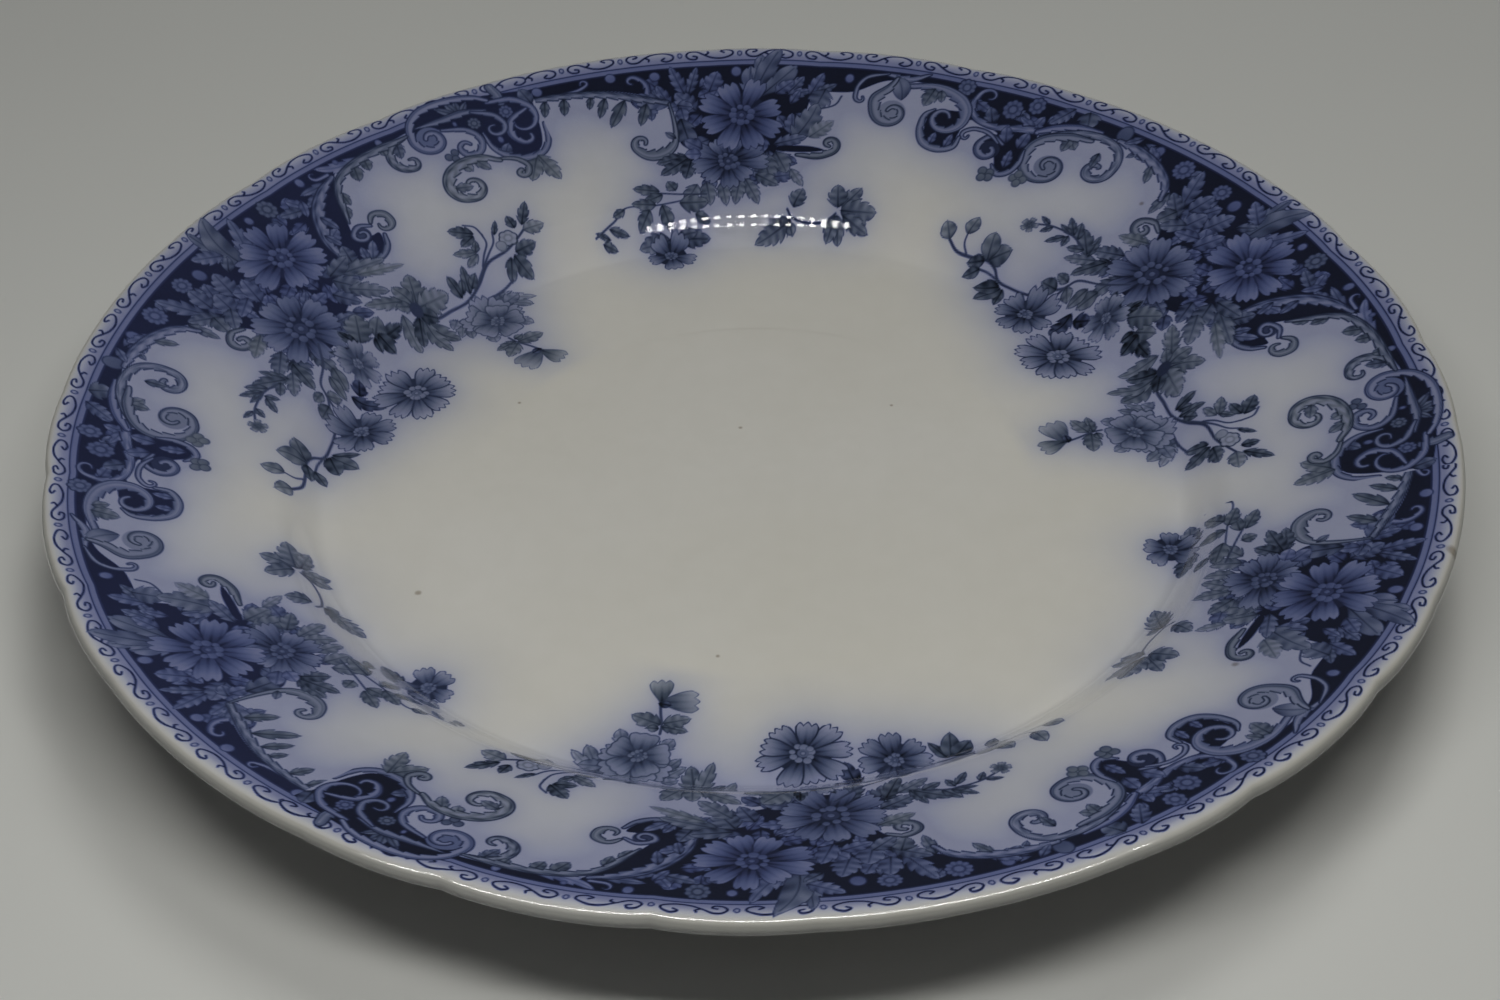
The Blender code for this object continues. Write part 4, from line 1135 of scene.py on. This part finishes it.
def clay_colour(nodes):
    """Warm white with faint clouding, pin specks, a few kiln marks, and painted shade where the lip turns
    down.
    """
    cloud = nodes.ramp(nodes.noise(14.0, 4.0), ((0.35, (0, 0, 0)), (0.75, (1, 1, 1))))
    colour = nodes.mix(cloud, CLAY_WHITE, CLAY_WARM)
    fine = nodes.ramp(nodes.noise(220.0, 2.0), ((0.3, (0.975, 0.975, 0.97)), (0.7, (1.0, 1.0, 1.0))))
    colour = nodes.mix(1.0, colour, fine, "MULTIPLY")
    cells = nodes.add("ShaderNodeTexVoronoi", {"Vector": nodes.geometry("Position"), "Scale": 150.0,
                                               "Randomness": 1.0})
    chosen = nodes.math("GREATER_THAN", cells.outputs["Color"], 0.93)
    near = nodes.math("LESS_THAN", cells.outputs["Distance"], 0.055)
    speck = nodes.times(chosen, near)
    colour = nodes.mix(nodes.times(speck, 0.55), colour, SPECK_BROWN)
    for degrees, radius, size in MARKS:
        angle = math.radians(degrees)
        mark = nodes.spot(radius * math.cos(angle), radius * math.sin(angle), size)
        colour = nodes.mix(nodes.times(mark, 0.6), colour, MARK_BROWN)
    # Painted shade: where the lip turns down and faces sideways, its colour is darkened to stand in for the
    # light it lacks
    up = nodes.add("ShaderNodeSeparateXYZ", {0: nodes.geometry("Normal")}).outputs[2]
    shade = nodes.ramp(up, ((0.45, (0.74, 0.755, 0.75)), (0.88, (1, 1, 1))))
    return nodes.mix(nodes.beyond(LIP_PAINTED_SHADE_RADIUS), colour, nodes.mix(1.0, colour, shade, "MULTIPLY"))


def earthenware_material():
    """Glost white clay, with cobalt-tinted glaze pooled by the foot and a bare, toasted resting edge."""
    nodes = Nodes("earthenware_look")
    colour = clay_colour(nodes)
    where = nodes.add("ShaderNodeSeparateXYZ", {0: nodes.geometry("Position")})
    height = nodes.math("DIVIDE", where.outputs[2], MM)
    low = nodes.ramp(nodes.math("DIVIDE", height, 12.0), ((0.06, (1, 1, 1)), (0.5, (0, 0, 0))))
    colour = nodes.mix(nodes.times(low, 0.35), colour, FOOT_BLUE)
    ragged = nodes.math("ADD", height, nodes.times(nodes.noise(300.0), 0.5))
    bare = nodes.math("LESS_THAN", ragged, BARE_FOOT_HEIGHT + 0.15)
    grit = nodes.ramp(nodes.noise(900.0, 5.0), ((0.3, (0.46, 0.39, 0.29)), (0.7, (0.66, 0.59, 0.47))))
    colour = nodes.mix(bare, colour, grit)
    bump = nodes.add("ShaderNodeBump", {"Strength": nodes.times(bare, 0.6), "Distance": 0.0003,
                                        "Height": nodes.noise(1200.0, 4.0)})
    shader = nodes.add("ShaderNodeBsdfPrincipled", {"Base Color": colour, "Roughness": 0.75,
                                                    "Specular IOR Level": 0.0, "Normal": bump.outputs[0]})
    return nodes.surface(shader.outputs[0])


def cobalt_material():
    """The ink over the clay: density and greyness come from the mesh, stippled like an engraving."""
    nodes = Nodes("cobalt_look")
    ink = nodes.attribute("ink")
    grain = nodes.math("SUBTRACT", nodes.noise(1500.0, 3.0, 0.7), 0.5)
    cloud = nodes.math("SUBTRACT", nodes.noise(90.0, 3.0), 0.5)
    wander = nodes.math("ADD", nodes.times(grain, 0.16), nodes.times(cloud, 0.22))
    body = nodes.times(ink, nodes.math("SUBTRACT", 1.15, ink))
    ink = nodes.math("ADD", ink, nodes.times(wander, body), clamp=True)
    tint = nodes.mix(nodes.attribute("grey"), nodes.ramp(ink, BLUE_STOPS), nodes.ramp(ink, SLATE_STOPS))
    colour = nodes.mix(1.0, clay_colour(nodes), tint, "MULTIPLY")
    shader = nodes.add("ShaderNodeBsdfPrincipled", {"Base Color": colour, "Roughness": 0.75,
                                                    "Specular IOR Level": 0.0})
    return nodes.surface(shader.outputs[0])


def glaze_material():
    """Clear glass seen as a skin: mirror-like where the light glances, and otherwise invisible."""
    nodes = Nodes("glaze_look")
    ripple = nodes.add("ShaderNodeBump", {"Strength": 0.04, "Distance": 0.0004,
                                          "Height": nodes.noise(70.0, 2.0)})
    peel = nodes.add("ShaderNodeBump", {"Strength": 0.015, "Distance": 0.0001,
                                        "Height": nodes.noise(900.0, 2.0), "Normal": ripple.outputs[0]})
    fresnel = nodes.add("ShaderNodeFresnel", {"IOR": 1.5, "Normal": peel.outputs[0]}).outputs[0]
    front = nodes.math("SUBTRACT", 1.0, nodes.geometry("Backfacing"))
    amount = nodes.times(fresnel, nodes.times(front, nodes.attribute("outside")))
    rough = nodes.ramp(nodes.noise(40.0, 3.0), ((0.3, (0.03, 0.03, 0.03)), (0.7, (0.05, 0.05, 0.05))))
    rough = nodes.mix(nodes.beyond(LIP_GLOSS_RADIUS), rough, (0.15, 0.15, 0.15, 1))
    gloss = nodes.add("ShaderNodeBsdfGlossy", {"Color": (1, 1, 1, 1), "Roughness": rough,
                                               "Normal": peel.outputs[0]})
    clear = nodes.add("ShaderNodeBsdfTransparent")
    mixed = nodes.add("ShaderNodeMixShader", {0: amount, 1: clear.outputs[0], 2: gloss.outputs[0]})
    return nodes.surface(mixed.outputs[0])


def floor_material():
    """Pale paper that throws back less light on the plate than it shows to the camera."""
    nodes = Nodes("paper_floor")
    colour = nodes.ramp(nodes.noise(6.0, 3.0), ((0.3, (0.76, 0.765, 0.735)), (0.7, (0.78, 0.785, 0.755))))
    bounced = nodes.add("ShaderNodeLightPath").outputs["Is Diffuse Ray"]
    seen = nodes.mix(bounced, colour, (0.30, 0.30, 0.32, 1))
    shader = nodes.add("ShaderNodeBsdfPrincipled", {"Base Color": seen, "Roughness": 0.9,
                                                    "Specular IOR Level": 0.1})
    return nodes.surface(shader.outputs[0])


# A lamp glows where it is further than this from its cell's ends, the cell's middle being at 0.5
LAMP_GAP = 0.31


def lamp_material(name, lamps, strength):
    """A strip of small lamps, dark in between, or one even glow when there is a single lamp."""
    nodes = Nodes(name)
    where = nodes.add("ShaderNodeSeparateXYZ", {0: nodes.add("ShaderNodeTexCoord").outputs["Generated"]})
    beat = nodes.math("PINGPONG", nodes.times(where.outputs[0], lamps), 0.5)
    lit = nodes.math("GREATER_THAN", beat, LAMP_GAP if lamps > 1 else 0.0)
    glow = nodes.add("ShaderNodeEmission", {"Color": (1.0, 0.99, 0.96, 1),
                                            "Strength": nodes.times(lit, strength)})
    return nodes.surface(glow.outputs[0])


# ---- the pieces ----

def build_body():
    """The clay: the glazed outline, the bare foot's resting edge, and the recess."""
    profile = np.vstack([coat_profile(BODY_DEPTH),
                         [(FOOT_RADIUS - 0.35, 0.12), (FOOT_RADIUS - 1.0, 0.0), (FOOT_RADIUS - 3.3, 0.0),
                          (FOOT_RADIUS - FOOT_WIDTH + 0.2, 0.12)],
                         recess_profile(BODY_DEPTH)])
    add_piece("plate_body", turned("plate_body", profile), earthenware_material(),
              "earthenware_body")


def build_glaze(name, outside, inside, material, node):
    """A skin of glass, its outer face marked for the material."""
    profile = np.vstack([outside, inside[::-1]])
    mesh = turned(name, profile)
    rows = np.concatenate([np.ones(len(outside)), np.zeros(len(inside))])
    add_value(mesh, "outside", np.repeat(rows, TURN_STEPS))
    add_piece(name, mesh, material, node)


def build_prints():
    """The three printed sections, each a sheet that carries its ink on its vertices."""
    draw_section()
    ink, grey, starts = ring_of_ink()
    columns = ink.shape[1]
    radii, heights = face_point(sheet.radii, PRINT_DEPTH)
    material = cobalt_material()
    for i, first in enumerate(starts):
        last = starts[(i + 1) % len(starts)] + (columns if i == len(starts) - 1 else 0)
        at = np.arange(first, last + 1)
        name = f"printed_section_{i + 1}"
        mesh = grid_mesh(name, revolved(radii, heights, at * DEGREE_STEP), False)
        add_value(mesh, "ink", ink[:, at % columns])
        add_value(mesh, "grey", grey[:, at % columns])
        add_piece(name, mesh, material, f"transfer_print_{i + 1}")


def build_plate():
    """All six pieces of the plate."""
    build_body()
    build_prints()
    glass = glaze_material()
    build_glaze("glaze_skin", coat_profile(0.0), coat_profile(GLAZE_INSIDE), glass, "glaze_coat")
    build_glaze("glaze_recess_skin", recess_profile(0.0), recess_profile(GLAZE_INSIDE), glass,
                "glaze_foot_recess")


# ---- the stage ----

CAMERA_PLACE = Vector((0.0, -0.4216, 0.3454))
CAMERA_YAW = math.radians(-0.08)
CAMERA_PITCH = math.radians(39.07)
CAMERA_ROLL = math.radians(-1.0)
CAMERA_LENS = 70.2


def add_camera():
    """The camera, at the photo's angle."""
    flat = math.cos(CAMERA_PITCH)
    ahead = Vector((math.sin(CAMERA_YAW) * flat, math.cos(CAMERA_YAW) * flat, -math.sin(CAMERA_PITCH)))
    level = Vector((math.cos(CAMERA_YAW), -math.sin(CAMERA_YAW), 0.0))
    up = level.cross(ahead)
    right = level * math.cos(CAMERA_ROLL) + up * math.sin(CAMERA_ROLL)
    up = up * math.cos(CAMERA_ROLL) - level * math.sin(CAMERA_ROLL)
    data = bpy.data.cameras.new("camera")
    data.lens = CAMERA_LENS
    data.sensor_width = 36.0
    data.clip_start = 0.01
    camera = add_object("camera", data)
    camera.matrix_world = Matrix.Translation(CAMERA_PLACE) @ Matrix((right, up, -ahead)).transposed().to_4x4()
    bpy.context.scene.camera = camera


def add_area_light(name, place, size, power):
    """A lamp aimed at the plate that only lights it. Its reflections come from the strips."""
    data = bpy.data.lights.new(name, "AREA")
    data.shape = "RECTANGLE"
    data.size, data.size_y = size
    data.energy = power
    data.color = (1.0, 0.995, 0.965)
    light = add_object(name, data)
    light.location = place
    light.rotation_euler = (-Vector(place)).to_track_quat("-Z", "Y").to_euler()
    light.visible_glossy = False


def add_strip(name, place, size, bow, lamps, strength):
    """A flat strip, seen only as a reflection in the glaze. Its ends bow away from the camera."""
    across = np.linspace(-0.5, 0.5, 25)
    middle = bow * (2 * across) ** 2
    points = [(x * size[0], y + side * size[1], 0) for side in (-0.5, 0.5) for x, y in zip(across, middle)]
    count = len(across)
    faces = [(k, k + 1, count + k + 1, count + k) for k in range(count - 1)]
    mesh = bpy.data.meshes.new(name)
    mesh.from_pydata(points, [], faces)
    mesh.materials.append(lamp_material(name, lamps, strength))
    strip = add_object(name, mesh)
    strip.location = place
    strip.visible_camera = False
    strip.visible_diffuse = False
    strip.visible_shadow = False


def add_world():
    """A dim bluish room."""
    world = bpy.data.worlds.new("room")
    world.use_nodes = True
    background = world.node_tree.nodes["Background"]
    background.inputs[0].default_value = (0.90, 0.95, 1.0, 1)
    background.inputs[1].default_value = 0.036
    bpy.context.scene.world = world


def add_stage():
    """The floor, the strips that the glaze reflects, the lamps and the room."""
    mesh = bpy.data.meshes.new("floor")
    mesh.from_pydata([(-4, -4, 0), (4, -4, 0), (4, 4, 0), (-4, 4, 0)], [], [(0, 1, 2, 3)])
    mesh.materials.append(floor_material())
    add_object("floor", mesh)
    add_strip("lamp_strip", (0.003, -0.352, 0.72), (0.50, 0.014), 0.017, 18, 40.0)
    add_strip("lip_strip", (0.0, -0.59, 0.79), (1.7, 0.08), 0.0, 1, 42.0)
    add_area_light("desk_lamp", (-0.01, -0.206, 0.40), (0.34, 0.07), 0.70)
    add_area_light("ceiling_lamp", (0.3, 0.8, 1.8), (0.7, 0.7), 7.3)
    add_world()
    bpy.context.scene.view_settings.view_transform = "Standard"


build_plate()
add_stage()
add_camera()
